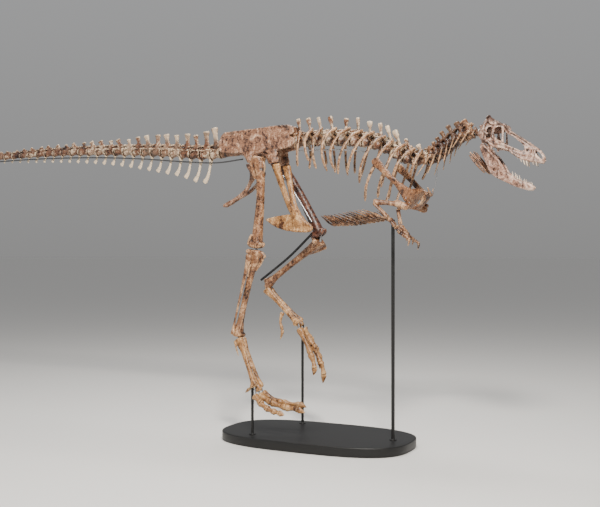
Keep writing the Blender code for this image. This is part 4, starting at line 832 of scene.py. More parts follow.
def tibia(label):
    """Shin bone: two-lobed head, tall front crest, and the ankle rollers with their upright tongue."""
    leg = LEGS[label]
    length = span(leg, "shin", "ankle")
    sketch = Sketch()
    sketch.loft([
        (0.004, 0.0, -0.004, 0.04, 0.05), (0.008, 0.0, -0.03, 0.047, 0.06),
        (0.014, 0.0, -0.095, 0.034, 0.044), (0.01, 0.0, -0.2, 0.027, 0.031),
        (0.002, 0.0, -length * 0.55, 0.026, 0.027), (0.0, 0.0, -length * 0.8, 0.032, 0.027),
        (0.0, 0.0, -length + 0.085, 0.047, 0.034), (0.0, 0.002, -length + 0.045, 0.054, 0.041),
        (0.0, 0.0, -length + 0.018, 0.046, 0.034)], FORE, 20)
    for y in (0.024, -0.024):
        sketch.knob((-0.04, y, -0.028), (0.032, 0.024, 0.026))
    sketch.loft(mm([(50, 2, -20, 14, 26), (78, 4, -38, 11, 30), (96, 7, -50, 13, 26), (104, 8, -56, 8, 14)]),
                (0, 0, 1), 12)
    sketch.loft(mm([(88, 6, -60, 10, 16), (66, 5, -115, 9, 20), (40, 3, -180, 8, 14)]), FORE, 12)
    sketch.loft(mm([(6, -36, -130, 10, 8), (4, -42, -180, 11, 10), (2, -32, -240, 8, 8)]), FORE, 10)
    sketch.loft([(0.008, -0.058, -length + 0.024, 0.036, 0.022), (0.009, -0.03, -length + 0.02, 0.044, 0.026),
                 (0.008, 0.0, -length + 0.026, 0.038, 0.021), (0.009, 0.03, -length + 0.018, 0.044, 0.027),
                 (0.006, 0.058, -length + 0.024, 0.036, 0.022)], (0, 0, 1), 16)
    tongue = [(-0.04, -length + 0.03), (0.04, -length + 0.03), (0.022, -length + 0.085),
              (0.004, -length + 0.15), (-0.018, -length + 0.205), (-0.03, -length + 0.14),
              (-0.042, -length + 0.075)]
    sketch.plate(tongue, 0.006, lambda u, w, n: Vector((0.029 + n + (w + length) * -0.02, u, w)))
    return sketch.placed(bone_frame(leg["shin"], leg["ankle"], label))


def fibula(label):
    """Slender outer shin bone with a fan-shaped head."""
    leg = LEGS[label]
    length = span(leg, "shin", "ankle")
    fore = leg["fibula"]
    sketch = Sketch()
    sketch.loft([
        (fore, -0.067, -0.05, 0.008, 0.024), (fore, -0.067, -0.06, 0.012, 0.032),
        (fore, -0.065, -0.095, 0.011, 0.027), (fore - 0.008, -0.055, -0.19, 0.0095, 0.016),
        (fore - 0.01, -0.05, -0.235, 0.0105, 0.016), (fore - 0.016, -0.046, -length * 0.55, 0.0085, 0.011),
        (fore - 0.014, -0.056, -length * 0.85, 0.009, 0.01), (fore - 0.004, -0.07, -length + 0.034, 0.013, 0.018),
        (fore, -0.072, -length + 0.014, 0.009, 0.013)], FORE, 14, 0.006)
    return sketch.placed(bone_frame(leg["shin"], leg["ankle"], label))


def metatarsus(label):
    """Three long foot bones, the middle one squeezed to a thin wedge at its top, and a small splint."""
    leg = LEGS[label]
    length = span(leg, "heel", "sole")
    sketch = Sketch()
    for offset, spread, share, thick in ((0.03, 0.048, 0.94, 0.02), (0.0, 0.0, 1.0, 0.022),
                                         (-0.03, -0.05, 0.92, 0.021)):
        pinch = 0.45 if offset == 0 else 1.0
        foot = -length * share
        sketch.loft([
            (0.0, offset, -0.002, thick * pinch * 0.9, 0.034), (0.0, offset, -0.018, thick * pinch, 0.039),
            (0.001, offset, -0.075, thick * pinch * 0.92, 0.03),
            (0.002, offset * 0.97, -length * 0.28, thick * 0.82 * pinch, 0.023),
            (0.003, lerp(offset, spread, 0.35), -length * share * 0.58, thick * lerp(pinch, 1, 0.6) * 0.82, 0.02),
            (0.004, lerp(offset, spread, 0.7), -length * share * 0.8, thick * 0.9, 0.02),
            (0.006, spread, foot + 0.05, thick * 1.1, 0.025), (0.008, spread, foot + 0.024, thick * 1.14, 0.03),
            (0.006, spread, foot + 0.004, thick * 0.95, 0.021)], FORE, 16, 0.007, 0.88)
        for y in (-0.5, 0.5):
            sketch.knob((-0.012, spread + y * thick, foot + 0.022), (0.02, thick * 0.5, 0.02))
    sketch.loft(mm([(-34, -44, -12, 9, 13), (-40, -52, -80, 6, 9), (-43, -56, -150, 3, 5)]), FORE, 10)
    return sketch.placed(bone_frame(leg["heel"], leg["sole"], label))


def sample(points, t):
    place = min(max(t, 0), 1) * (len(points) - 1)
    k = min(int(place), len(points) - 2)
    return Vector(points[k]).lerp(Vector(points[k + 1]), place - k)


def digit(path, bones, radius, claw, ref):
    """Toe or finger: knuckled bones with pulley ends and a hooked, side-flattened claw."""
    sketch = Sketch()
    points = spline(path, 60)
    run = 1 - claw
    length = sum((Vector(a) - Vector(b)).length for a, b in zip(points, points[1:]))
    edge = 0.0016 / length
    for k in range(bones):
        start = run * k / bones + edge
        end = run * (k + 1) / bones - edge
        rows = []
        for share, girth, deep in ((0, 0.86, 0.98), (0.1, 1.0, 1.12), (0.28, 0.74, 0.84), (0.55, 0.62, 0.66),
                                   (0.78, 0.8, 0.84), (0.92, 0.98, 1.0), (1, 0.84, 0.8)):
            t = lerp(start, end, share)
            size = radius * lerp(1.0, 0.74, t)
            rows.append((*sample(points, t), size * girth, size * deep))
        sketch.loft(rows, ref, 14, 0.005, 0.9)
        t = end + edge
        size = radius * lerp(1.0, 0.74, t) * 0.5
        sketch.rod([sample(points, t - 0.03), sample(points, t), sample(points, t + 0.03)], [size, size, size], 1,
                   ref)
    rows = []
    size = radius * lerp(1.0, 0.74, run)
    for share, wide, high in ((0, 0.6, 0.9), (0.08, 0.72, 1.15), (0.22, 0.66, 1.02), (0.45, 0.56, 0.8),
                              (0.7, 0.38, 0.52), (0.88, 0.22, 0.28), (1.0, 0.1, 0.12)):
        rows.append((*sample(points, lerp(run + edge, 1, share)), size * wide, size * high))
    sketch.loft(rows, ref, 14, 0.004)
    return sketch


TOES = {
    "right": {
        "toe_2": (mm([(-385, -240, 420), (-290, -225, 372), (-160, -205, 345), (-70, -197, 346), (-10, -190, 326)]),
                  2, 0.025, 0.26),
        "toe_3": (mm([(-392, -290, 405), (-300, -290, 365), (-170, -288, 330), (-60, -286, 322), (20, -285, 298)]),
                  3, 0.026, 0.2),
        "toe_4": (mm([(-415, -340, 405), (-345, -358, 350), (-260, -372, 312), (-180, -382, 298),
                      (-120, -388, 282)]), 4, 0.024, 0.2),
        "toe_1": (mm([(-502, -236, 500), (-530, -222, 462), (-560, -215, 440), (-592, -210, 412)]), 1, 0.015, 0.42),
    },
    "left": {
        "toe_2": (mm([(-285, 262, 920), (-205, 240, 790), (-145, 222, 670), (-125, 212, 600), (-132, 205, 540)]), 2,
                  0.025, 0.26),
        "toe_3": (mm([(-268, 310, 912), (-190, 310, 800), (-120, 308, 665), (-80, 306, 560), (-85, 305, 462)]), 3,
                  0.026, 0.2),
        "toe_4": (mm([(-290, 362, 925), (-230, 378, 830), (-175, 392, 725), (-150, 400, 640), (-165, 405, 575)]), 4,
                  0.024, 0.2),
        "toe_1": (mm([(-452, 228, 1090), (-462, 205, 1010), (-440, 200, 920), (-462, 198, 840)]), 1, 0.016, 0.38),
    },
}


# ---- arms -----------------------------------------------------------------------------------

ARMS = {
    "right": {"shoulder": mm((905, -232, 1985)), "elbow": mm((628, -285, 2030)),
              "wrist": mm((755, -285, 1905)), "tip": mm((905, -265, 1725))},
    "left": {"shoulder": mm((905, 232, 1985)), "elbow": mm((628, 285, 2020)),
             "wrist": mm((660, 270, 1865)), "tip": mm((800, 240, 1700))},
}


def scapula(side):
    """Long strap of a shoulder blade, its socket, and the rounded coracoid turned in below."""
    sketch = Sketch()
    rows = sided([(628, 280, 2378, 5, 22), (636, 282, 2367, 6, 34), (655, 286, 2345, 6.5, 37),
                  (700, 288, 2300, 7, 31), (750, 286, 2248, 8, 26), (800, 275, 2196, 9, 24),
                  (830, 266, 2165, 11, 26), (872, 238, 2116, 16, 42), (905, 205, 2078, 18, 60),
                  (925, 150, 2056, 12, 82), (926, 90, 2050, 10, 96), (922, 50, 2047, 8, 88),
                  (921, 36, 2046, 6, 70)], side)
    sketch.loft(rows, (0.62, 0, 0.78), 18, 0.006)
    sketch.knob((0.905, side * 0.222, 2.02), (0.022, 0.02, 0.02))
    sketch.knob((0.88, side * 0.226, 2.052), (0.02, 0.018, 0.02))
    sketch.rod(sided([(925, 200, 2128), (955, 160, 2128), (975, 100, 2128)], side),
               mm([9, 9, 6]), 0.9)
    return sketch


def long_bone(sketch, start, end, profile, bow=0.0, sides=14):
    """Bone between two points; profile gives (share of length, half width, half height)."""
    start = Vector(start)
    end = Vector(end)
    lift = Vector((0, 1, 0)).cross((end - start).normalized()).normalized()
    rows = []
    for share, across, up in profile:
        rows.append((*(start.lerp(end, share) + lift * bow * math.sin(math.pi * share)), across, up))
    sketch.loft(rows, (0, 1, 0), sides, 0.005)
    return lift


def arm(label):
    """Sketches of one arm: upper arm, the two forearm bones, the wrist with its two hand bones."""
    side = SIDES[label]
    joint = {key: Vector(value) for key, value in ARMS[label].items()}
    upper = Sketch()
    lift = long_bone(upper, joint["shoulder"], joint["elbow"], (
        (0, 0.018, 0.015), (0.05, 0.027, 0.022), (0.14, 0.03, 0.024), (0.35, 0.022, 0.02), (0.6, 0.019, 0.018),
        (0.84, 0.022, 0.019), (0.94, 0.028, 0.022), (1, 0.02, 0.015)), 0.012)
    crest = [joint["shoulder"].lerp(joint["elbow"], t) + lift * (0.012 * math.sin(math.pi * t) + rise)
             for t, rise in ((0.12, 0.012), (0.24, 0.024), (0.34, 0.026), (0.46, 0.01))]
    upper.rod(crest, [0.007, 0.01, 0.01, 0.006], 0.8, (0, 1, 0))
    sketches = {"humerus_" + label: upper}
    shift = Vector((0, side * 0.0175, 0))
    axis = (joint["wrist"] - joint["elbow"]).normalized()
    rear = joint["elbow"] + axis * 0.02
    low = joint["wrist"] - axis * 0.004
    outer = Sketch()
    long_bone(outer, rear - axis * 0.01 + shift, low + shift, (
        (0, 0.008, 0.01), (0.07, 0.013, 0.018), (0.22, 0.0115, 0.0145), (0.6, 0.0105, 0.0115),
        (0.93, 0.013, 0.0145), (1, 0.009, 0.01)))
    inner_bone = Sketch()
    long_bone(inner_bone, rear - shift, low - shift, (
        (0, 0.01, 0.012), (0.06, 0.013, 0.0155), (0.22, 0.0105, 0.012), (0.6, 0.0095, 0.0105),
        (0.93, 0.0125, 0.014), (1, 0.009, 0.01)))
    sketches["ulna_" + label] = outer
    sketches["radius_" + label] = inner_bone
    wrist = joint["wrist"]
    reach = joint["tip"] - wrist
    palm = wrist + reach * 0.34
    inner = Vector((0, -side * 0.016, 0))
    hand = Sketch()
    for y, z, size in ((-0.014, 0.004, 0.012), (0.012, 0.006, 0.012), (0.0, 0.016, 0.011)):
        hand.knob(wrist + axis * (z + 0.006) + Vector((0, y, 0)), (size, size, size * 0.9))
    shape = ((0, 0.013, 0.014), (0.12, 0.0165, 0.0175), (0.5, 0.0125, 0.0135), (0.88, 0.0165, 0.0175),
             (1, 0.011, 0.012))
    long_bone(hand, wrist + inner + reach * 0.05, palm + inner, shape)
    long_bone(hand, wrist - inner + reach * 0.05, palm - inner + reach * 0.06, shape)
    sketches["hand_" + label] = hand
    for name, shift, root, length, bones in (("finger_1", inner * 1.5, 0.36, 0.8, 2),
                                             ("finger_2", -inner * 1.2, 0.42, 1.02, 3)):
        path = [wrist + shift + reach * root, wrist + shift + reach * lerp(root, length, 0.5),
                wrist + shift * 1.3 + reach * length + Vector((0.018, 0, 0.012)),
                wrist + shift * 1.4 + reach * length + Vector((0.012, 0, -0.046))]
        sketches[name + "_" + label] = digit([tuple(p) for p in path], bones, 0.018, 0.3, (0, 1, 0))
    return sketches


def furcula():
    sketch = Sketch()
    sketch.rod(mm([(1012, 78, 2150), (1014, 62, 2133), (1016, 40, 2108), (1018, 0, 2088), (1016, -40, 2108),
                   (1014, -62, 2133), (1012, -78, 2150)]),
               mm([4.5, 7, 8, 9, 8, 7, 4.5]), 0.9, (1, 0, 0), 14, 0.004)
    return sketch


# ---- belly ----------------------------------------------------------------------------------

BELLY_ROWS = 14
BELLY_REAR_X = 0.13
BELLY_FRONT_X = 0.705


def belly_height(share):
    return ramp(share, ((0, 1.858), (0.4, 1.862), (1, 1.905)))


def belly_ribs():
    """Curves and radii of the belly ribs: an inner and an outer rod for each row and side."""
    dice = random.Random(11)
    rods = []
    for k in range(BELLY_ROWS):
        share = (k + 0.5) / BELLY_ROWS
        x = lerp(BELLY_REAR_X + 0.01, BELLY_FRONT_X - 0.01, share)
        z = belly_height(share)
        spread = ramp(share, ((0, 0.11), (0.35, 0.19), (0.8, 0.2), (1, 0.15)))
        for side in (RIGHT, LEFT):
            wag = dice.uniform(-0.006, 0.006)
            cross = 0.004 if (k % 2 == 0) == (side == RIGHT) else 0.0
            sweep = ramp(share, ((0, 0.06), (0.3, 0.14), (1, 0.19)))
            inner = [(x + 0.012, -side * 0.012, z + cross * 0.5), (x, side * 0.01, z + cross),
                     (x - sweep * 0.24, side * spread * 0.26, z + 0.012),
                     (x - sweep * 0.48 + wag, side * spread * 0.52, z + 0.03),
                     (x - sweep * 0.7 + wag, side * spread * 0.74, z + 0.05)]
            rods.append((inner, [0.006, 0.0098, 0.0088, 0.007, 0.003]))
            outer = [(x - sweep * 0.34 + wag, side * spread * 0.4, z + 0.03),
                     (x - sweep * 0.54 + wag, side * spread * 0.6, z + 0.044),
                     (x - sweep * 0.8 + wag, side * spread * 0.84, z + 0.064), (x - sweep + wag, side * spread,
                                                                                z + 0.08)]
            rods.append((outer, [0.003, 0.0068, 0.0062, 0.0024]))
    return [tapered(points, radii, 15) for points, radii in rods]


# ---- skull ----------------------------------------------------------------------------------

# Skull cross-sections: x, roof height, lower edge, half width above, half width below
SKULL = mm([(28, 150, -20, 30, 92), (62, 140, -40, 50, 108), (110, 120, -58, 72, 112), (180, 126, -62, 74, 104),
            (240, 106, -50, 44, 80), (320, 98, -40, 32, 60), (430, 81, -52, 27, 48), (520, 64, -30, 22, 38),
            (570, 38, -20, 17, 26), (588, 12, -14, 9, 12)])
ORBIT = mm([(152, 94), (140, 72), (158, 36), (184, 14), (216, 8), (224, 22), (198, 72), (174, 104)])
FENESTRA = mm([(206, 94), (232, 78), (276, 80), (324, 68), (364, 58), (396, 40), (404, 20), (377, 0), (320, -11),
               (290, -6), (254, 2), (238, 28)])
TEMPORAL = mm([(98, 72), (86, 50), (100, 22), (106, -4), (122, -22), (138, -8), (128, 34), (114, 66)])
NARIS = mm([(494, 46), (518, 49), (548, 34), (561, 16), (546, 13), (512, 28)])
MAXILLARY = mm([(421, 29), (432, 38), (443, 30), (433, 20)])
FOSSA = mm([(250, 92), (330, 80), (395, 62), (440, 52), (463, 34), (456, 10), (425, 2), (380, -12), (320, -20),
            (262, -8)])
JAW = mm([(96, -72), (116, -60.5), (150, -75), (190, -96), (240, -112), (310, -148), (362, -183), (432, -201),
          (500, -205), (560, -197), (602, -199), (611, -213), (596, -237), (542, -254), (465, -264), (380, -264),
          (304, -260), (250, -238), (204, -193), (140, -136), (100, -106)])
JAW_SLOT = mm([(262, -212), (286, -198), (309, -200), (300, -214), (280, -222)])
JAW_SEAM = mm([(300, -206), (308, -226), (318, -245), (330, -264)])
CHIN_SEAM = mm([(512, -204), (521, -224), (530, -256)])
SKULL_PLACE = Matrix.Translation((1.4, 0.0, 2.585)) @ Matrix.Rotation(math.radians(27), 4, "Y")


def line_distance(line, u, w, closed):
    """Distance of grid points from a line, and how often a ray from each crosses it."""
    best = np.full(u.shape, 9.0)
    crossed = np.zeros(u.shape, bool)
    count = len(line)
    for k in range(count if closed else count - 1):
        (u0, w0), (u1, w1) = line[k], line[(k + 1) % count]
        along = ((u - u0) * (u1 - u0) + (w - w0) * (w1 - w0)) / max((u1 - u0) ** 2 + (w1 - w0) ** 2, 1e-12)
        along = np.clip(along, 0, 1)
        best = np.minimum(best, np.hypot(u - u0 - along * (u1 - u0), w - w0 - along * (w1 - w0)))
        if w0 != w1:
            cuts = (w0 > w) != (w1 > w)
            crossed ^= cuts & (u < (u1 - u0) * (w - w0) / (w1 - w0) + u0)
    return best, crossed


def depth_inside(loop, u, w):
    """Signed distance of grid points from a smooth closed loop, positive inside."""
    best, inside = line_distance(smooth_loop(loop, 5), u, w, True)
    return np.where(inside, best, -best)


def whole_cells(rim):
    """Cells of a grid whose four corners all lie inside the rim."""
    return (rim[:-1, :-1] > 0) & (rim[1:, 1:] > 0) & (rim[:-1, 1:] > 0) & (rim[1:, :-1] > 0)


def shell(sketch, outer, inner, keep):
    """Closed wall between two grids of points, with the cells where keep is false left out."""
    high, wide = keep.shape
    used = {}
    verts = []
    faces = []

    def corner(layer, i, j):
        key = (layer, i, j)
        if key not in used:
            used[key] = len(verts)
            verts.append(tuple(outer[i][j] if layer == 0 else inner[i][j]))
        return used[key]

    for i in range(high):
        for j in range(wide):
            if not keep[i][j]:
                continue
            faces.append([corner(0, i, j), corner(0, i + 1, j), corner(0, i + 1, j + 1), corner(0, i, j + 1)])
            faces.append([corner(1, i, j), corner(1, i, j + 1), corner(1, i + 1, j + 1), corner(1, i + 1, j)])
            for di, dj, a, b in ((-1, 0, (i, j), (i, j + 1)), (1, 0, (i + 1, j), (i + 1, j + 1)),
                                 (0, -1, (i, j), (i + 1, j)), (0, 1, (i, j + 1), (i + 1, j + 1))):
                x, y = i + di, j + dj
                if not (0 <= x < high and 0 <= y < wide and keep[x][y]):
                    faces.append([corner(0, *a), corner(0, *b), corner(1, *b), corner(1, *a)])
    sketch.add(verts, faces)


def smooth_rows(rows, xs):
    """Rows read along their first value with smooth interpolation."""
    fine = spline(rows, 120)
    at = [row[0] for row in fine]
    return [np.interp(xs, at, [row[k] for row in fine]) for k in range(1, len(rows[0]))]


def skull_wall(sketch):
    """One side of the skull's outer wall from the roof's midline to the tooth margin."""
    xs = np.linspace(0.03, 0.584, 250)
    roof, floor, above, below = smooth_rows(SKULL, xs)
    grid = []
    for k in range(len(xs)):
        t, f, a, b = roof[k], floor[k], above[k], below[k]
        corners = [(0.0, t + 0.001), (a * 0.55, t), (a * 0.95, t - 0.014), (lerp(b, a, 0.42), lerp(f, t, 0.66)),
                   (lerp(b, a, 0.1), lerp(f, t, 0.36)), (b * 0.99, lerp(f, t, 0.12)), (b * 0.93, f)]
        grid.append([(xs[k], p[0], p[1]) for p in spline(corners, 72)])
    grid = np.array(grid)
    x, z = grid[:, :, 0], grid[:, :, 2]
    rim = np.full(x.shape, 1.0)
    for loop in (ORBIT, FENESTRA, TEMPORAL, NARIS, MAXILLARY):
        rim = np.minimum(rim, -depth_inside(loop, x, z))
    normal = np.cross(np.gradient(grid, axis=0), np.gradient(grid, axis=1))
    normal /= np.linalg.norm(normal, axis=2)[:, :, None]
    outward = np.sign(normal[:, :, 1:2] + normal[:, :, 2:3] * 0.2)
    normal *= np.where(outward == 0, 1, outward)
    sunk = np.clip(depth_inside(FOSSA, x, z) / 0.006, 0, 1) * 0.0045
    thick = np.clip(rim / 0.006, 0.25, 1) * np.interp(x, (0.03, 0.3, 0.58), (0.009, 0.0075, 0.0085))
    thick += np.clip((lerp(floor, roof, 0.18)[:, None] - z) / 0.02, 0, 1) * 0.004
    round_off = (thick.max() - thick) * 0.35
    outer = grid - normal * (sunk + round_off)[:, :, None]
    inner = grid - normal * (sunk + round_off + thick)[:, :, None]
    outer[:, 0, 1] = inner[:, 0, 1] = -0.001
    shell(sketch, outer, inner, whole_cells(rim))


def skull():
    """Skull with open windows, brow and cheek ridges, braincase, palate bars and back crest."""
    sketch = Sketch()
    skull_wall(sketch)

    def bar(path, radii, *rest):
        sketch.rod(mm(path), mm(radii), *rest)

    bar([(172, 58, 116), (190, 62, 101), (214, 70, 50), (238, 78, 4)],
        [11, 8.5, 7, 10])
    bar([(122, 74, 116), (130, 81, 80), (142, 93, 38), (160, 101, 0)],
        [14, 12, 9, 13], 0.8)
    bar([(60, 72, 120), (86, 86, 98), (122, 82, 104)], [10, 9, 10])
    bar([(50, 78, 108), (52, 94, 70), (66, 101, 30), (82, 105, -16), (96, 104, -46)], [13, 14, 15, 14, 15], 0.7)
    bar([(78, 104, 20), (100, 106, 12), (112, 106, 20)], [12, 10, 6])
    bar([(90, 106, -40), (140, 109, -40), (190, 104, -50), (240, 82, -36), (300, 66, -30)], [12, 12, 14, 10, 7])
    bar([(180, 104, -48), (187, 104, -70), (194, 102, -80)], [14, 11, 5], 0.8)
    bar([(100, 84, -48), (92, 82, -60), (108, 80, -57)], [13, 12, 8])
    bar([(100, 46, 116), (126, 70, 123), (166, 66, 124)], [10, 13, 9])
    bar([(172, 60, 120), (192, 58, 128), (222, 46, 113)], [9, 13, 8])
    bar([(222, 40, 104), (262, 34, 101), (330, 28, 92), (420, 23, 77)],
        [8, 7, 6.5, 5])
    bar([(300, 56, -28), (350, 52, -40), (430, 43, -45), (520, 33, -24), (568, 19, -12)], [8, 10, 11, 10, 9])
    bar([(463, 35, 46), (476, 37, 22), (462, 41, -4), (420, 46, -16), (360, 52, -26)], [4, 5, 5, 5, 3])
    bar([(560, 8, 20), (574, 7, 12), (580, 8, -6)], [8, 8, 7])
    bar([(70, 88, -20), (120, 56, -18), (200, 30, -12), (330, 14, -4), (470, 6, -4)], [9, 9, 8, 6, 4])
    bar([(190, 30, -12), (225, 60, -24), (236, 76, -30)], [7, 6, 7])
    bar([(60, 24, 50), (34, 56, 56), (30, 84, 40)], [12, 10, 11], 1.5, (1, 0, 0))
    bar([(70, 16, 30), (58, 30, 4), (70, 50, -20)], [11, 8, 6])
    sketch.mirrored()
    bar([(24, 0, 50), (44, 0, 50), (100, 0, 66), (170, 0, 90), (205, 0, 104)],
        [13, 26, 36, 26, 14], 1.15)
    bar([(30, -58, 122), (32, -34, 139), (34, 0, 143), (32, 34, 139), (30, 58, 122)], [6, 10, 11, 10, 6], 0.6,
        (1, 0, 0), 14)
    bar([(34, 0, 138), (70, 0, 134), (120, 0, 124)], [8, 7, 6])
    sketch.loft(mm([(36, 0, 60, 44, 12), (34, 0, 95, 52, 10), (32, 0, 134, 50, 9)]),
                (1, 0, 0), 14)
    dice = random.Random(4)
    for k in range(13):
        x = 0.286 + 0.019 * k
        z = skull_at(x, 1)
        sketch.knob((x, dice.uniform(-0.007, 0.007), z - 0.001), (0.011, 0.011, dice.uniform(0.004, 0.007)))
    return sketch.placed(SKULL_PLACE)


def jaw_width(x):
    return np.interp(x, (0.1, 0.25, 0.45, 0.56, 0.61), (0.094, 0.08, 0.045, 0.0245, 0.0145))


def jaw(side):
    """One half of the lower jaw with its side slot, seams, inner shelf and joint."""
    sketch = Sketch()
    u, w = np.meshgrid(np.arange(0.09, 0.618, 0.0024), np.arange(-0.27, -0.054, 0.0024), indexing="ij")
    rim = np.minimum(depth_inside(JAW, u, w), -depth_inside(JAW_SLOT, u, w))
    swell = np.sqrt(np.clip(1 - (1 - np.clip(rim / 0.016, 0, 1)) ** 2, 0.004, 1))
    half = swell * np.interp(u, (0.1, 0.2, 0.35, 0.5, 0.6), (0.011, 0.0075, 0.01, 0.012, 0.0125))
    seam = seam_distance((JAW_SEAM, CHIN_SEAM), u, w, (0, 0.001))
    groove = np.clip(1 - seam / 0.0042, 0, 1) * 0.006
    dish = np.clip(depth_inside([(0.15, -0.096), (0.23, -0.13), (0.3, -0.175), (0.27, -0.205), (0.2, -0.165)],
                                u, w) / 0.012, 0, 1) * 0.003
    middle = jaw_width(u)
    outer = np.stack((u, side * np.maximum(middle + half - groove - dish, 0.0004), w), axis=2)
    inner = np.stack((u, side * np.maximum(middle - half, 0.0003), w), axis=2)
    shell(sketch, outer, inner, whole_cells(rim))

    def bar(path, radii):
        sketch.rod([(x, side * (float(jaw_width(x)) + n), z) for x, n, z in mm(path)], mm(radii))

    bar([(372, 0, -192), (432, 0, -207), (500, 0, -211), (560, 0, -203), (600, 0, -206)],
        [6, 9, 10, 10, 8])
    bar([(112, 4, -78), (160, 7, -94), (220, 6, -120), (290, 2, -154)],
        [10, 9, 8, 5])
    bar([(104, -4, -90), (114, -10, -76), (112, -16, -88)], [13, 13, 9])
    bar([(112, 0, -112), (190, 2, -180), (240, 3, -226), (300, 3, -252), (370, 2, -256)], [7, 8, 9, 8, 6])
    return sketch.placed(SKULL_PLACE)


# How much longer a tooth is drawn than its row says, for the root that hides in the bone
TOOTH_STRETCH = 1.38
# Teeth: x, length, and how far the tip stands ahead of the root
UPPER_TEETH = mm([(380, 14, 7), (412, 24, 12), (436, 32, 16), (458, 36, 16), (506, 19, 8), (530, 24, 10)])
LOWER_TEETH = mm([(425, 27, -10), (466, 28, -12), (500, 14, -5), (526, 21, -8), (551, 12, -4), (574, 15, -5)])


def tooth_blade():
    """Curved blade of unit length that points up, with its root sunk below zero."""
    sketch = Sketch()
    sketch.loft([(-back, 0, share, wide, deep) for share, back, wide, deep in (
        (-0.35, 0.0, 0.1, 0.12), (0.0, 0.0, 0.11, 0.135), (0.25, 0.01, 0.1, 0.12), (0.5, 0.035, 0.08, 0.098),
        (0.75, 0.08, 0.06, 0.075), (0.92, 0.13, 0.028, 0.036), (1.0, 0.16, 0.006, 0.008))], (1, 0, 0), 10, 0.11)
    return add_object("tooth", to_mesh(sketch, "tooth"))


def tooth_tree():
    """Node tree: sets a tooth on every point, turned and sized by the point's attributes."""
    tree, source, target = node_group(
        "Tooth Row", "GeometryNodeTree",
        {"Geometry": "Geometry", "Tooth": "Object", "Size": "Float", "Material": "Material"},
        {"Geometry": "Geometry"})
    picked = add_node(tree, "GeometryNodeObjectInfo", As_Instance=True)
    turn, length = (add_node(tree, "GeometryNodeInputNamedAttribute") for _ in range(2))
    turn.data_type, length.data_type = "FLOAT_VECTOR", "FLOAT"
    turn.inputs["Name"].default_value = "turn"
    length.inputs["Name"].default_value = "tooth_length"
    sized = add_node(tree, "ShaderNodeMath")
    sized.operation = "MULTIPLY"
    place = add_node(tree, "GeometryNodeInstanceOnPoints")
    real = add_node(tree, "GeometryNodeRealizeInstances")
    smooth = add_node(tree, "GeometryNodeSetShadeSmooth")
    finish = add_node(tree, "GeometryNodeSetMaterial")
    wire(tree, (source, "Tooth", picked, "Object"), (length, 0, sized, 0), (source, "Size", sized, 1),
         (source, "Geometry", place, "Points"), (picked, "Geometry", place, "Instance"),
         (turn, 0, place, "Rotation"), (sized, 0, place, "Scale"), (place, "Instances", real, "Geometry"),
         (real, "Geometry", smooth, "Geometry"), (smooth, "Geometry", finish, "Geometry"),
         (source, "Material", finish, "Material"), (finish, "Geometry", target, "Geometry"))
    return tree


def tooth_row(name, places, material_name):
    """Row of teeth; places are (root in skull coordinates, length, tip shift ahead, up or down)."""
    mesh = bpy.data.meshes.new(name + "_roots")
    turns = []
    skull_turn = SKULL_PLACE.to_3x3()
    side = Vector((0, 1, 0))
    for _, length, ahead, sign in places:
        drop = sign * math.sqrt(max(length ** 2 - ahead ** 2, 1e-8))
        axis = (skull_turn @ Vector((ahead * 1.25, 0, drop))).normalized()
        back = side.cross(axis).normalized()
        turns.extend(Matrix((back, side, axis)).transposed().to_euler())
    mesh.from_pydata([tuple(SKULL_PLACE @ Vector(row[0])) for row in places], [], [])
    mesh.attributes.new("turn", "FLOAT_VECTOR", "POINT").data.foreach_set("vector", turns)
    mesh.attributes.new("tooth_length", "FLOAT", "POINT").data.foreach_set(
        "value", [row[1] * TOOTH_STRETCH for row in places])
    blade = tooth_blade()
    item = grown(add_object(name + "_roots", mesh), name, tooth_tree(), {
        "Tooth": blade, "Size": 1.0, "Material": bpy.data.materials[material_name]})
    bpy.data.objects.remove(blade, do_unlink=True)
    return item


THROAT = mm([([(32, 45, -172), (90, 44, -196), (152, 40, -225), (205, 31, -248), (232, 22, -256)],
              [7, 9, 8, 8.5, 6]), ([(52, 36, -154), (108, 34, -180), (166, 30, -206), (226, 22, -242)],
                                   [5, 7.2, 6.6, 5]), ([(30, 24, -194), (82, 26, -220), (140, 22, -247),
                                                        (196, 14, -268)], [5, 7.8, 7, 4.8])])


def throat_rods():
    """Curves of the throat bones: a stout pair, two thin pairs and the bar that joins them."""
    rods = [tapered([(x, y * side, z) for x, y, z in path], radii, 22)
            for side in (RIGHT, LEFT) for path, radii in THROAT]
    rods.append(tapered([(0.232, 0.022, -0.256), (0.24, 0.0, -0.259), (0.232, -0.022, -0.256)],
                        [0.005, 0.006, 0.005], 12))
    return [([SKULL_PLACE @ Vector(p) for p in points], radii) for points, radii in rods]


# ---- stand ----------------------------------------------------------------------------------

BASE_LENGTH = 1.7
BASE_WIDTH = 0.94
BASE_HEIGHT = 0.08
POSTS = {
    "stand_post_front": ((0.69, 0.0), 1.9, 0.0145),
    "stand_post_foot_right": ((-0.47, -0.3), 0.53, 0.012),
    "stand_post_foot_left": ((-0.3, 0.33), 0.982, 0.012),
}


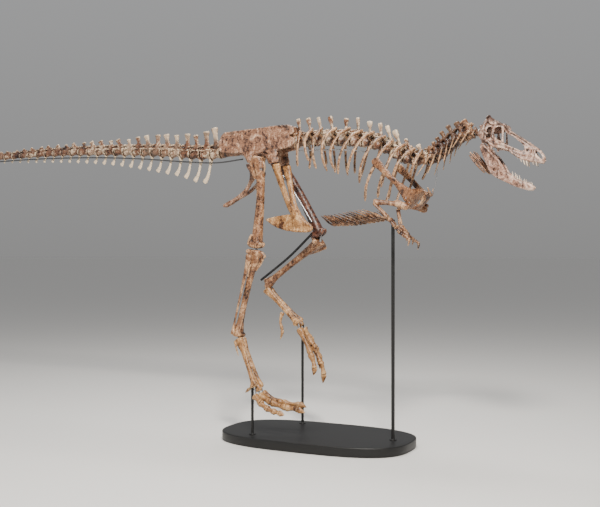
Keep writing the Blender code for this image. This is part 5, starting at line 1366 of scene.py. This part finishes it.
def base():
    """Low plinth with rounded ends, a soft upper edge and a shadow gap at the floor."""
    rings = []
    for shrink, z in ((0.012, 0.0), (0.0115, 0.006), (0.004, 0.008), (0.0012, 0.014), (0.0004, 0.04),
                      (0.0, 0.07), (0.0006, 0.0745), (0.0022, 0.0778), (0.0046, 0.0795), (0.0075, 0.08),
                      (0.05, 0.08)):
        ring = []
        for k in range(160):
            angle = 2 * math.pi * k / 160
            c = math.cos(angle)
            s = math.sin(angle)
            ring.append(((BASE_LENGTH / 2 - shrink) * math.copysign(abs(c) ** 0.69, c),
                         (BASE_WIDTH / 2 - shrink) * math.copysign(abs(s) ** 0.69, s), z))
        rings.append(ring)
    sketch = Sketch()
    sketch.rings(rings)
    return add_object("plinth", to_mesh(sketch, "plinth"))


def turned(sketch, centre, profile, sides=28):
    """Turned body about an upright axis; profile gives (radius, height)."""
    x, y = centre
    rings = []
    for radius, z in profile:
        rings.append([(x + radius * math.cos(2 * math.pi * k / sides),
                       y + radius * math.sin(2 * math.pi * k / sides), z)
                      for k in range(sides)])
    sketch.rings(rings)


def post(name, spot, top, radius):
    """Upright tube with a bevelled flange, four low screws and a rounded cup at its top."""
    sketch = Sketch()
    low = BASE_HEIGHT + 0.0004
    turned(sketch, spot, [(0.029, low), (0.03, low + 0.0008), (0.03, low + 0.0042), (0.029, low + 0.0054),
                          (radius + 0.0045, low + 0.006), (radius + 0.0018, low + 0.0075),
                          (radius + 0.0003, low + 0.011), (radius, low + 0.016), (radius, top - 0.02),
                          (radius + 0.0015, top - 0.016), (radius + 0.0018, top - 0.004), (radius, top),
                          (radius * 0.5, top)])
    for k in range(4):
        angle = math.pi * (0.25 + 0.5 * k)
        screw = (spot[0] + 0.0228 * math.cos(angle), spot[1] + 0.0228 * math.sin(angle))
        turned(sketch, screw, [(0.0034, low + 0.004), (0.0034, low + 0.0064), (0.0026, low + 0.0075),
                               (0.0012, low + 0.0078)], 10)
    return add_object(name, to_mesh(sketch, name))


def rail_path():
    points = []
    for share in (0, 0.07, 0.16, 0.28, 0.42, 0.58, 0.76):
        x = lerp(-0.72, TAIL_TIP_X, share)
        size = tail_size(min(x, TAIL_ROOT_X))
        clear = ramp(share, ((0, 0.028), (0.3, 0.016), (1, 0.004)))
        points.append((x, -0.024, column_z(x) - size * 1.12 - 0.0075 - clear))
    return points


RODS = {
    "mount_rail_tail": ("stand_rail_tail", "dull_steel", [(rail_path(), 0.0066)]),
    "mount_rod_thigh_left": ("stand_rod_thigh_left", "grey_steel", mm([
        ([(-400, 135, 2320), (-260, 142, 2120), (-120, 145, 1900)], 8)])),
    "mount_rod_shin_left": ("stand_rod_shin_left", "dark_steel", mm([
        ([(-124, 166, 1800), (-368, 190, 1590), (-676, 235, 1380)], 10.5)])),
    "mount_rod_neck": ("stand_rod_neck", "grey_steel", mm([
        ([(1366, 0, 2572), (1400, 0, 2585), (1432, 0, 2597)], 11.8)])),
}


# Pins that show in the joints' gaps, and the thin rod and wire under the trunk
SMALL_STEEL = {
    "joint_pins_right": ("stand_post_foot_right", "grey_steel", mm([
        ([(-476, -210, 1705), (-480, -211, 1660), (-484, -211, 1620)], 13),
        ([(-641, -250, 940), (-632, -251, 900), (-622, -252, 860)], 12),
        ([(-420, -290, 470), (-404, -290, 430), (-380, -290, 395)], 7),
        ([(-428, -338, 480), (-414, -338, 430), (-398, -344, 392)], 7),
        ([(-416, -244, 480), (-402, -242, 440), (-374, -238, 412)], 7)])),
    "joint_pins_left": ("stand_post_foot_left", "grey_steel", mm([
        ([(-64, 215, 1795), (-67, 216, 1760), (-74, 217, 1720)], 12),
        ([(-650, 290, 1350), (-650, 291, 1315), (-644, 292, 1280)], 12),
        ([(-306, 310, 975), (-286, 310, 940), (-262, 310, 900)], 7),
        ([(-316, 358, 990), (-300, 360, 950), (-280, 363, 912)], 7),
        ([(-310, 264, 990), (-296, 263, 945), (-274, 260, 902)], 7)])),
    "trunk_rod": ("stand_rail_tail", "grey_steel", mm([
        ([(-180, -12, 2512), (60, -12, 2508), (300, -12, 2494), (480, -12, 2466)], 5.5)])),
    "throat_wire": ("stand_post_front", "grey_steel", mm([
        ([(1070, 0, 2345), (1066, 0, 2260), (1048, 0, 2160), (1022, 0, 2098)], 2.8)])),
}


# ---- attributes and finishes ----------------------------------------------------------------

def neighbour_mean(values, edges, degree):
    """Mean of each vertex's neighbours."""
    result = np.empty_like(values)
    for axis in range(values.shape[1]):
        total = np.bincount(edges[:, 0], values[edges[:, 1], axis], len(values))
        total += np.bincount(edges[:, 1], values[edges[:, 0], axis], len(values))
        result[:, axis] = total / degree
    return result


def read_all(items, key, wide, kind=float):
    """Array of one value of every vertex or edge of a mesh."""
    values = np.empty(len(items) * wide, kind)
    items.foreach_get(key, values)
    return values.reshape(-1, wide)


def store(mesh, name, values):
    mesh.attributes.new(name, "FLOAT", "POINT").data.foreach_set("value", unit(values))


def add_wear_and_painted_light(mesh, places, scale):
    """Stores how far each point stands proud of its smoothed surroundings, 0.5 where it's level; the finishes turn
    this into pale ridges, partly wear and partly painted highlight, and painted shade in hollows.
    """
    edges = read_all(mesh.edges, "vertices", 2, np.int64)
    degree = np.maximum(np.bincount(edges.ravel(), minlength=len(places)), 1)
    soft = places
    for _ in range(5):
        soft = neighbour_mean(soft, edges, degree)
    proud = ((places - soft) * read_all(mesh.vertices, "normal", 3)).sum(axis=1)[:, None]
    for _ in range(2):
        proud = neighbour_mean(proud, edges, degree)
    store(mesh, "wear", 0.5 + proud[:, 0] / scale)


def hashed(numbers, salt):
    """Repeatable value from 0 to 1 for whole numbers."""
    raw = np.sin(numbers * 12.9898 + salt * 78.233) * 43758.5453
    return raw - np.floor(raw)


def step_tone(joints, salt, amount):
    """Tone that differs from one vertebra to the next."""
    edges = np.sort(np.array(joints))

    def tone(places):
        number = np.searchsorted(edges, places[:, 0])
        return 0.5 + (hashed(number, salt) - 0.5) * amount
    return tone


def above_column(places):
    """Height of points over the backbone's centre line."""
    return places[:, 2] - np.interp(places[:, 0], [c[0] for c in COLUMN], [c[1] for c in COLUMN])


def joint_distance(places, joints):
    return np.min(np.abs(places[:, 0][:, None] - np.array(joints)[None, :]), axis=1)


def tail_tone(places):
    """Tail: varied bones, pale spine tops, and cream chevrons below the centra."""
    level = above_column(places)
    size = np.interp(-places[:, 0], (0.95, 1.52, 2.28, 3.23, 4.18, 4.75),
                     (0.05, 0.045, 0.036, 0.028, 0.02, 0.009))
    tone = step_tone(TAIL_JOINTS, 3, 0.36)(places)
    tone += unit((level - size * 2.0) / 0.05) * 0.2
    tone -= unit(1 - joint_distance(places, TAIL_JOINTS) / 0.009) * 0.6
    return np.where(level < -size * 1.12, 0.92, tone)


def trunk_tone(places):
    """Back: varied bones, dark joints and painted shade low down, and pale spine tops."""
    level = above_column(places)
    tone = step_tone(DORSAL_JOINTS, 5, 0.45)(places)
    near = joint_distance(places, DORSAL_JOINTS)
    # Painted shade: everything below the arches is darkened, and the joints there more so.
    tone -= np.where(level < 0.05, unit(1 - near / 0.012) * 0.6 + 0.15, 0)
    return tone + unit((level - 0.13) / 0.04) * 0.14


def in_skull(places):
    """Lengthwise and upright coordinates of points in the skull's own frame."""
    turn = np.array(SKULL_PLACE.inverted())
    local = places @ turn[:3, :3].T + turn[:3, 3]
    return local[:, 0], local[:, 2]


def seam_distance(lines, u, w, shifts):
    """Distance of points from the nearest of the open lines, each pushed off by its shift."""
    return np.min([line_distance(line, u, w, False)[0] + shift for line, shift in zip(lines, shifts)], axis=0)


def blotches(u, w, a, b, c, d):
    return np.sin(u * a + 3 * np.sin(w * b)) * np.sin(w * c + 2 * np.sin(u * d + 1))


def jaw_tone(places):
    """Jaw: dark seams, greyer behind them, golden along the tooth bone and paler at the chin."""
    u, w = in_skull(places)
    seam = seam_distance((JAW_SEAM, CHIN_SEAM), u, w, (0, 0.0015))
    tone = np.interp(u, (0.1, 0.28, 0.34, 0.46, 0.54), (0.38, 0.36, 0.62, 0.52, 0.76))
    return tone + blotches(u, w, 83, 61, 74, 57) * 0.18 - unit(1.5 - seam / 0.005) * 0.8


SKULL_SEAMS = mm([[(318, 0), (338, -26), (368, -52)], [(488, 60), (496, 20), (508, -28)],
                  [(290, 104), (360, 88), (440, 66)], [(125, 10), (168, -4), (190, -36)],
                  [(70, 30), (92, 14), (104, -50)]])


def skull_tone(places):
    """Skull: dark seams, a browner back and roof, and a paler muzzle."""
    u, w = in_skull(places)
    seam = seam_distance(SKULL_SEAMS, u, w, [0] * len(SKULL_SEAMS))
    tone = np.interp(u, (0.02, 0.1, 0.2, 0.3, 0.42, 0.54), (0.14, 0.34, 0.42, 0.38, 0.52, 0.68))
    tone -= unit((w - 0.085) / 0.04) * unit((0.3 - u) / 0.06) * 0.24
    return tone + blotches(u, w, 71, 53, 64, 47) * 0.16 - unit(1.5 - seam / 0.004) * 0.75


def rib_tone(places):
    """Ribs: slow changes along each one."""
    return 0.46 + 0.2 * (np.sin(places[:, 0] * 23) * np.sin(places[:, 2] * 11 + places[:, 0] * 5))


def belly_tone(places):
    """Belly ribs: dark, and different from one stretch to the next."""
    return 0.1 + 0.5 * hashed(np.floor(places[:, 0] * 60 + places[:, 2] * 40), 2)


def neck_tone(places):
    """Neck: bones darkened all over as painted shade, with paler spine tops and paler ribs below."""
    level = above_column(places)
    # Painted shade: 0.34 is taken off the tone of every neck bone.
    tone = step_tone(NECK_JOINTS, 8, 0.4)(places) - 0.34
    tone += unit((level - 0.09) / 0.04) * 0.15
    return tone + unit((np.abs(places[:, 1]) - 0.05) / 0.02) * unit(0.4 - level / 0.06) * 0.42


FINISH_OUTPUTS = {"Color": "Color", "Roughness": "Float", "Height": "Float"}


def fossil_group():
    """Shader group of mineralised bone: stained patches, pale ridges that are partly wear and partly painted
    highlight, painted shade in hollows, dark pores and cracks.
    """
    tree, source, target = node_group(
        "Fossil Bone", "ShaderNodeTree",
        {"Dark": "Color", "Middle": "Color", "Light": "Color", "Cast": "Color", "Patch Size": "Float",
         "Cast Share": "Float", "Wear": "Float", "Tone": "Float"}, FINISH_OUTPUTS)
    link = tree.links.new
    given = source.outputs
    place = tree.nodes.new("ShaderNodeTexCoord").outputs["Object"]

    def feed(value, slot):
        if isinstance(value, (int, float)):
            slot.default_value = value
        else:
            link(value, slot)

    def noise(scale, detail, rough, warp=0.0):
        node = add_node(tree, "ShaderNodeTexNoise", Detail=detail, Roughness=rough, Distortion=warp)
        link(place, node.inputs["Vector"])
        feed(scale, node.inputs["Scale"])
        return node.outputs["Fac"]

    def span_of(value, low, high, to_low=0.0, to_high=1.0):
        node = add_node(tree, "ShaderNodeMapRange", From_Min=low, From_Max=high, To_Min=to_low, To_Max=to_high)
        node.interpolation_type = "SMOOTHSTEP"
        link(value, node.inputs["Value"])
        return node.outputs["Result"]

    def maths(operation, a, b):
        node = tree.nodes.new("ShaderNodeMath")
        node.operation = operation
        for slot, value in zip(node.inputs, (a, b)):
            feed(value, slot)
        return node.outputs[0]

    def blend(factor, a, b, mode="MIX"):
        node = tree.nodes.new("ShaderNodeMix")
        node.data_type = "RGBA"
        node.blend_type = mode
        sockets = [s for s in node.inputs if s.enabled]
        for slot, value in zip(sockets, (factor, a, b)):
            feed(value, slot)
        return next(s for s in node.outputs if s.enabled)

    patches = noise(given["Patch Size"], 5, 0.62, 0.6)
    fine = noise(maths("MULTIPLY", given["Patch Size"], 6.5), 5, 0.65, 0.3)
    grit = noise(230, 3, 0.6)
    far = noise(maths("MULTIPLY", given["Patch Size"], 0.55), 3, 0.5, 0.4)
    squash = tree.nodes.new("ShaderNodeVectorMath")
    squash.operation = "MULTIPLY"
    squash.inputs[1].default_value = (30.0, 30.0, 7.0)
    link(place, squash.inputs[0])
    grain_node = add_node(tree, "ShaderNodeTexNoise", Scale=1.0, Detail=4.0, Roughness=0.6, Distortion=0.4)
    link(squash.outputs[0], grain_node.inputs["Vector"])
    streaks = grain_node.outputs["Fac"]
    mixed = maths("ADD", maths("MULTIPLY", patches, 0.45),
                  maths("ADD", maths("MULTIPLY", fine, 0.28), maths("MULTIPLY", streaks, 0.27)))
    colour = blend(span_of(mixed, 0.42, 0.51), given["Dark"], given["Middle"])
    colour = blend(span_of(mixed, 0.505, 0.61, 0.0, 0.8), colour, given["Light"])
    # Ridges that stand proud turn pale: partly wear, partly painted highlight.
    worn = maths("ADD", given["Wear"], maths("MULTIPLY", maths("SUBTRACT", fine, 0.5), 0.9))
    colour = blend(span_of(worn, 0.62, 0.95, 0.0, 0.65), colour, given["Light"])
    edge = maths("ADD", maths("MULTIPLY", given["Cast Share"], 0.4), maths("MULTIPLY", fine, 0.35))
    cast = span_of(maths("ADD", far, edge), 0.84, 0.96, 0.0, 0.4)
    colour = blend(cast, colour, given["Cast"])
    colour = blend(span_of(given["Tone"], 0.52, 1.0, 0.0, 0.85), colour, given["Light"])
    colour = blend(span_of(given["Tone"], 0.0, 0.48, 0.8, 0.0), colour, given["Dark"])
    # Painted shade: hollows darken the colour, multiplied with the dark pores and the cracks below.
    painted_hollow_shade = span_of(given["Wear"], 0.14, 0.52, 0.18, 1.0)
    speckle = span_of(grit, 0.3, 0.62, 0.84, 1.06)
    cells = add_node(tree, "ShaderNodeTexVoronoi", Scale=30.0, Randomness=1.0)
    cells.feature = "DISTANCE_TO_EDGE"
    warp = tree.nodes.new("ShaderNodeVectorMath")
    warp.operation = "ADD"
    ripple = add_node(tree, "ShaderNodeTexNoise", Scale=22.0, Detail=3.0)
    link(place, ripple.inputs["Vector"])
    small = tree.nodes.new("ShaderNodeVectorMath")
    small.operation = "SCALE"
    small.inputs["Scale"].default_value = 0.05
    link(ripple.outputs["Color"], small.inputs[0])
    link(place, warp.inputs[0])
    link(small.outputs[0], warp.inputs[1])
    link(warp.outputs[0], cells.inputs["Vector"])
    where = span_of(patches, 0.5, 0.62)
    crack = maths("MULTIPLY", span_of(cells.outputs["Distance"], 0.0, 0.035, 1.0, 0.0), where)
    painted_shade_and_pores = maths("MULTIPLY", maths("MULTIPLY", painted_hollow_shade, speckle), maths("SUBTRACT", 1.0,
                                                                        maths("MULTIPLY", crack, 0.55)))
    grey = tree.nodes.new("ShaderNodeCombineColor")
    for socket in grey.inputs:
        link(painted_shade_and_pores, socket)
    colour = blend(1.0, colour, grey.outputs["Color"], "MULTIPLY")
    link(colour, target.inputs["Color"])
    link(maths("SUBTRACT", span_of(fine, 0.25, 0.75, 0.36, 0.62), maths("MULTIPLY", given["Wear"], 0.12)),
         target.inputs["Roughness"])
    height = maths("ADD", maths("MULTIPLY", maths("ADD", fine, streaks), 0.6), maths("MULTIPLY", grit, 0.25))
    link(maths("SUBTRACT", height, maths("MULTIPLY", crack, 0.5)), target.inputs["Height"])
    return tree


def attribute(tree, name):
    node = tree.nodes.new("ShaderNodeAttribute")
    node.attribute_name = name
    return node


def grouped_material(name, tree_name, maker, values, strength, distance):
    """Material whose shader group gives its colour, roughness and bump."""
    material = bpy.data.materials.new(name)
    material.use_nodes = True
    tree = material.node_tree
    shader = tree.nodes["Principled BSDF"]
    group = tree.nodes.new("ShaderNodeGroup")
    group.node_tree = bpy.data.node_groups.get(tree_name) or maker()
    for label, value in values.items():
        group.inputs[label].default_value = value
    bump = add_node(tree, "ShaderNodeBump", Strength=strength, Distance=distance)
    wire(tree, (group, "Height", bump, "Height"), (bump, "Normal", shader, "Normal"),
         (group, "Color", shader, "Base Color"), (group, "Roughness", shader, "Roughness"))
    return tree, group, shader


def bone_finish(name, dark, middle, light, cast, patch=7.0, cast_share=0.15, bump=0.0035):
    """Bone stained in patches, with painted shade in its hollows and pale ridges that are partly wear and partly
    painted highlight, driven by its wear-and-light and tone attributes.
    """
    tree, group, shader = grouped_material(name, "Fossil Bone", fossil_group, {
        "Dark": (*dark, 1.0), "Middle": (*middle, 1.0), "Light": (*light, 1.0), "Cast": (*cast, 1.0),
        "Patch Size": patch, "Cast Share": cast_share}, 0.55, bump)
    wire(tree, (attribute(tree, "wear"), "Fac", group, "Wear"), (attribute(tree, "tone"), "Fac", group, "Tone"))
    shader.inputs["Specular IOR Level"].default_value = 0.5


def metal_group():
    """Shader group for stand metal: rubbed spots, uneven roughness and a fine bump."""
    tree, source, target = node_group(
        "Stand Metal", "ShaderNodeTree",
        {"Base": "Color", "Rubbed": "Color", "Smoothness": "Float", "Spread": "Float"}, FINISH_OUTPUTS)
    link = tree.links.new
    place = tree.nodes.new("ShaderNodeTexCoord").outputs["Object"]
    broad = add_node(tree, "ShaderNodeTexNoise", Scale=5.0, Detail=5.0, Roughness=0.6)
    fine = add_node(tree, "ShaderNodeTexNoise", Scale=160.0, Detail=3.0, Roughness=0.6)
    for node in (broad, fine):
        link(place, node.inputs["Vector"])
    worn = add_node(tree, "ShaderNodeMapRange", From_Min=0.5, From_Max=0.72, To_Min=0.0, To_Max=0.8)
    link(broad.outputs["Fac"], worn.inputs["Value"])
    mix = tree.nodes.new("ShaderNodeMix")
    mix.data_type = "RGBA"
    sockets = [s for s in mix.inputs if s.enabled]
    link(worn.outputs["Result"], sockets[0])
    link(source.outputs["Base"], sockets[1])
    link(source.outputs["Rubbed"], sockets[2])
    link(next(s for s in mix.outputs if s.enabled), target.inputs["Color"])
    spread = tree.nodes.new("ShaderNodeMath")
    spread.operation = "MULTIPLY_ADD"
    wire(tree, (broad, "Fac", spread, 0), (source, "Spread", spread, 1), (source, "Smoothness", spread, 2),
         (spread, 0, target, "Roughness"), (fine, "Fac", target, "Height"))
    return tree


def metal_finish(name, plain, rubbed, roughness, metallic, coat, distance):
    shader = grouped_material(name, "Stand Metal", metal_group, {
        "Base": (*plain, 1.0), "Rubbed": (*rubbed, 1.0), "Smoothness": roughness, "Spread": 0.25},
        0.25, distance)[2]
    shader.inputs["Metallic"].default_value = metallic
    shader.inputs["Coat Weight"].default_value = coat


GREY_CAST = (0.185, 0.12, 0.082)
bone_finish("brown_bone", (0.018, 0.005, 0.003), (0.18, 0.076, 0.033), (0.58, 0.365, 0.205), GREY_CAST)
bone_finish("hip_bone", (0.024, 0.008, 0.005), (0.24, 0.112, 0.06), (0.66, 0.46, 0.325), GREY_CAST,
            13.0, 0.1, 0.009)
bone_finish("tail_bone", (0.02, 0.006, 0.003), (0.165, 0.07, 0.034), (0.76, 0.61, 0.43), GREY_CAST)
bone_finish("skull_bone", (0.03, 0.01, 0.006), (0.27, 0.14, 0.094), (0.72, 0.535, 0.425),
            (0.3, 0.2, 0.15), 14.0)
# Shaded copy of the leg bone finish: painted shade for the far-side thigh bone.
bone_finish("dark_bone", (0.01, 0.003, 0.002), (0.06, 0.018, 0.009), (0.26, 0.115, 0.065),
            (0.09, 0.045, 0.028), 7.0, 0.0)
bone_finish("leg_bone", (0.024, 0.007, 0.003), (0.21, 0.09, 0.038), (0.6, 0.375, 0.205), GREY_CAST,
            9.0, 0.1, 0.006)
bone_finish("golden_bone", (0.05, 0.016, 0.005), (0.31, 0.146, 0.05), (0.67, 0.435, 0.215),
            (0.38, 0.235, 0.13), 10.0)
bone_finish("tooth_enamel", (0.32, 0.21, 0.14), (0.52, 0.4, 0.3), (0.7, 0.59, 0.47),
            (0.6, 0.52, 0.44), 60.0, 0.0, 0.0006)
metal_finish("black_paint", (0.006, 0.006, 0.0065), (0.014, 0.014, 0.015), 0.36, 0.0, 0.1, 0.0006)
metal_finish("dull_steel", (0.085, 0.085, 0.088), (0.13, 0.13, 0.132), 0.34, 0.8, 0.0, 0.0004)
metal_finish("dark_steel", (0.03, 0.029, 0.03), (0.075, 0.073, 0.072), 0.3, 0.8, 0.0, 0.0004)
metal_finish("grey_steel", (0.33, 0.332, 0.34), (0.42, 0.42, 0.425), 0.28, 0.9, 0.0, 0.0004)


def settle(item, nodes, slot_name, finish_name):
    """Gives a piece its finish and its place in the frame."""
    item.data.materials.clear()
    item.data.materials.append(bpy.data.materials[finish_name])
    item.data.shade_smooth()
    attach(item, "root")
    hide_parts(*nodes)


def dress(item, nodes, slot_name, finish_name, tone=None, scale=0.0042):
    """Settles a bone after storing its wear and painted light, read at scale, and its tone."""
    places = read_all(item.data.vertices, "co", 3)
    add_wear_and_painted_light(item.data, places, scale)
    store(item.data, "tone", tone(places) if tone else np.full(len(places), 0.5))
    settle(item, nodes, slot_name, finish_name)


# ---- the mount ------------------------------------------------------------------------------

def tail_length(sketch, k):
    """One tail vertebra and the chevron behind it."""
    tail_vertebra(sketch, k)
    if 1 <= k < CHEVRON_END:
        chevron(sketch, TAIL_JOINTS[k], k / (TAIL_COUNT - 1))


def make_backbone():
    for number, (first, last, voxel, softer) in enumerate(TAIL_LENGTHS, 1):
        item = fused("tail_bones_%d" % number, drawn(tail_length, range(first, last)), voxel, 3,
                     0.004 * softer, 0.0022 * softer)
        dress(item, ["tail_%d" % number], "bone", "tail_bone", tail_tone, 0.0048 * softer)
    item = fused("sacrum_bone", drawn(sacral_vertebra, range(SACRAL_COUNT)), 0.0036)
    dress(item, ["sacrum"], "bone", "brown_bone")
    item = fused("back_bones", drawn(dorsal_vertebra, range(len(RIBS))), 0.0037)
    dress(item, ["rib_cage_left", "rib_cage_right"], "bone", "tail_bone", trunk_tone, 0.0055)
    for label, side in SIDES.items():
        sketch = drawn(lambda sketch, k: rib(sketch, k, side), range(len(RIBS)))
        dress(fused("ribs_" + label, sketch, 0.0034, 3), ["rib_cage_" + label], "bone", "brown_bone", rib_tone)
    for name, first, last, slot_name in (("neck_rear", 0, NECK_SPLIT, "bone_dark"),
                                         ("neck_front", NECK_SPLIT, NECK_COUNT, "bone")):
        sketch = drawn(neck_vertebra, range(first, last))
        if last == NECK_COUNT:
            ring_bone(sketch)
        item = fused(name + "_bones", sketch, 0.0027, 3, 0.003, 0.0018)
        dress(item, [name], slot_name, "brown_bone", neck_tone, 0.0034)


# Hip and shoulder bones: voxel, size of their lumps, and finish
PLATES = {
    "ilium": (ilium, 0.004, 0.008, "hip_bone"), "pubis": (pubis, 0.0032, 0.005, "golden_bone"),
    "ischium": (ischium, 0.003, 0.005, "hip_bone"), "scapula": (scapula, 0.003, 0.005, "leg_bone"),
}
# Leg bones: voxel, then slot and finish on the right and on the left
SHAFTS = {
    # The left thigh bone takes the shaded finish as painted shade.
    "femur": (femur, 0.004, ("bone", "leg_bone"), ("bone_dark", "dark_bone")),
    "tibia": (tibia, 0.0036, ("bone", "leg_bone"), ("bone_dark", "brown_bone")),
    "fibula": (fibula, 0.0026, ("bone", "leg_bone"), ("bone", "leg_bone")),
    "metatarsus": (metatarsus, 0.0032, ("bone_pale", "golden_bone"), ("bone_pale", "golden_bone")),
}


def make_limbs():
    for label, side in SIDES.items():
        for part, (maker, voxel, lumps, finish_name) in PLATES.items():
            item = fused(part + "_bone_" + label, maker(side), voxel, 4, lumps, 0.003)
            dress(item, [part + "_" + label], "bone", finish_name, None, 0.0085)
        for part, (maker, voxel, *looks) in SHAFTS.items():
            item = fused(part + "_bone_" + label, maker(label), voxel)
            dress(item, [part + "_" + label], *looks[label == "left"])
        for part, (path, bones, radius, claw) in TOES[label].items():
            root, second = Vector(path[0]), Vector(path[1])
            longer, thicker = (0.2, 1.24) if bones > 1 else (0.0, 1.1)
            path = [tuple(root + (root - second) * longer), *path[1:]]
            sketch = digit(path, bones, radius * thicker, claw, (0, 0, 1) if label == "right" else (1, 0, 0))
            item = fused(part + "_bones_" + label, sketch, 0.0024, 2, 0.002, 0.0014)
            dress(item, [part + "_" + label], "bone_pale", "golden_bone", None, 0.003)
        for part, sketch in arm(label).items():
            item = fused(part.replace("_" + label, "_bone_" + label), sketch, 0.002, 2, 0.0014, 0.001)
            dress(item, [part], "bone", "brown_bone", None, 0.0026)


def skull_at(x, column):
    """Value of a column of the skull's cross-sections at x."""
    return float(np.interp(x, [row[0] for row in SKULL], [row[column] for row in SKULL]))


def make_head():
    item = fused("skull_bone", skull(), 0.0025, 3, 0.0018, 0.0007)
    dress(item, ["skull"], "bone", "skull_bone", skull_tone, 0.0034)
    upper = [((x, side * (skull_at(x, 4) - 0.005), skull_at(x, 2) + 0.003), length + 0.003, ahead, -1)
             for x, length, ahead in UPPER_TEETH for side in (RIGHT, LEFT)]
    rows = [("upper_teeth", upper, "skull")]
    gum = JAW[5:11]
    for label, side in SIDES.items():
        item = fused("jaw_bone_" + label, jaw(side), 0.0023, 2, 0.0016, 0.0006)
        dress(item, ["jaw_" + label], "bone", "skull_bone", jaw_tone, 0.0036)
        lower = []
        for x, length, ahead in LOWER_TEETH:
            edge = float(np.interp(x, [p[0] for p in gum], [p[1] for p in gum]))
            lower.append(((x, side * (float(jaw_width(x)) + 0.001), edge - 0.004), length + 0.003, ahead, 1))
        rows.append(("lower_teeth_" + label, lower, "jaw_" + label))
    for name, places, node in rows:
        dress(tooth_row(name, places, "tooth_enamel"), [node], "bone_pale", "tooth_enamel", None, 0.004)
    item = sketch_rods("throat_bones", throat_rods(), 0.9, 12, "brown_bone")
    dress(item, ["hyoids"], "bone", "brown_bone", None, 0.02)
    item = fused("wishbone", furcula(), 0.002, 2, 0.001, 0.001)
    dress(item, ["furcula"], "bone", "brown_bone", None, 0.0026)
    item = sketch_rods("belly_ribs", belly_ribs(), 0.85, 10, "brown_bone")
    dress(item, ["gastralia"], "bone", "brown_bone", belly_tone, 0.02)


def make_stand():
    pieces = [(base(), "stand_base", "black_paint")]
    for name, (spot, top, radius) in POSTS.items():
        pieces.append((post(name.replace("stand_", "mount_"), spot, top, radius), name, "black_paint"))
    for group, steps, sides in ((RODS, 40, 20), (SMALL_STEEL, 14, 12)):
        for name, (node, finish_name, rods) in group.items():
            bars = [(spline(path, steps), [radius] * steps) for path, radius in rods]
            pieces.append((sketch_rods(name, bars, 1.0, sides, finish_name), node, finish_name))
    for item, node, finish_name in pieces:
        settle(item, [node], "black_paint" if finish_name == "black_paint" else "steel_rod", finish_name)
        item.data.set_sharp_from_angle(angle=math.radians(40))


# ---- studio ---------------------------------------------------------------------------------

# Frame, focal length and eye level in pixels, then the camera's turn in degrees and its place
IMAGE_WIDTH, IMAGE_HEIGHT = 600, 507
FOCAL_PIXELS = 887
HORIZON = 256
SENSOR = 36.0
CAMERA_TURN = 26
CAMERA_ACROSS, CAMERA_BACK, CAMERA_HEIGHT = -0.148, 7.63, 1.6
FLOOR_REACH = 900
# Lights: place, size, power and colour
LIGHTS = {
    "key": ((3.0, -5.5, 6.5), 1.2, 1200, (1.0, 0.95, 0.88)),
    "fill": ((-6.0, -5.0, 4.0), 4.0, 90, (0.95, 0.97, 1.0)),
    "top": ((-1.0, 1.5, 7.5), 2.0, 300, (1.0, 0.98, 0.95)),
}
LIT_SPOT = Vector((-0.6, 0, 1.9))


def studio():
    """Pale floor, soft lights and the camera."""
    floor_mesh = bpy.data.meshes.new("floor")
    floor_mesh.from_pydata([(x * FLOOR_REACH, y * FLOOR_REACH, 0) for x, y in ((-1, -1), (1, -1), (1, 1), (-1, 1))],
                           [], [(0, 1, 2, 3)])
    floor = add_object("floor", floor_mesh)
    material = bpy.data.materials.new("pale_floor")
    material.use_nodes = True
    shader = material.node_tree.nodes["Principled BSDF"]
    shader.inputs["Base Color"].default_value = (0.72, 0.71, 0.69, 1)
    shader.inputs["Roughness"].default_value = 0.85
    floor_mesh.materials.append(material)
    world = bpy.data.worlds.new("studio")
    world.use_nodes = True
    tree = world.node_tree
    height = tree.nodes.new("ShaderNodeSeparateXYZ")
    fade = add_node(tree, "ShaderNodeMapRange", From_Min=0.0, From_Max=0.3)
    shades = tree.nodes.new("ShaderNodeMix")
    shades.data_type = "RGBA"
    low, high = [s for s in shades.inputs if s.enabled][1:]
    low.default_value = (0.7, 0.695, 0.69, 1)
    high.default_value = (0.93, 0.935, 0.945, 1)
    tree.links.new(tree.nodes.new("ShaderNodeTexCoord").outputs["Generated"], height.inputs[0])
    tree.links.new(height.outputs["Z"], fade.inputs["Value"])
    tree.links.new(fade.outputs["Result"], [s for s in shades.inputs if s.enabled][0])
    tree.links.new(next(s for s in shades.outputs if s.enabled), tree.nodes["Background"].inputs["Color"])
    tree.nodes["Background"].inputs["Strength"].default_value = 0.4
    bpy.context.scene.world = world
    for name, (place, size, power, warm) in LIGHTS.items():
        light = bpy.data.lights.new(name, "AREA")
        light.size = size
        light.energy = power
        light.color = warm
        lamp = bpy.data.objects.new(name, light)
        lamp.location = place
        aim = LIT_SPOT - Vector(place)
        lamp.rotation_euler = aim.to_track_quat("-Z", "Y").to_euler()
        bpy.context.scene.collection.objects.link(lamp)
    turn = math.radians(CAMERA_TURN)
    camera = bpy.data.cameras.new("camera")
    camera.sensor_width = SENSOR
    camera.lens = FOCAL_PIXELS / IMAGE_WIDTH * SENSOR
    camera.shift_y = (HORIZON - IMAGE_HEIGHT / 2) / IMAGE_WIDTH
    camera.clip_end = 2000
    eye = bpy.data.objects.new("camera", camera)
    eye.location = (CAMERA_ACROSS * math.cos(turn) + CAMERA_BACK * math.sin(turn),
                    CAMERA_ACROSS * math.sin(turn) - CAMERA_BACK * math.cos(turn), CAMERA_HEIGHT)
    eye.rotation_euler = (math.pi / 2, 0, turn)
    bpy.context.scene.collection.objects.link(eye)
    bpy.context.scene.camera = eye


studio()
make_backbone()
make_limbs()
make_head()
make_stand()
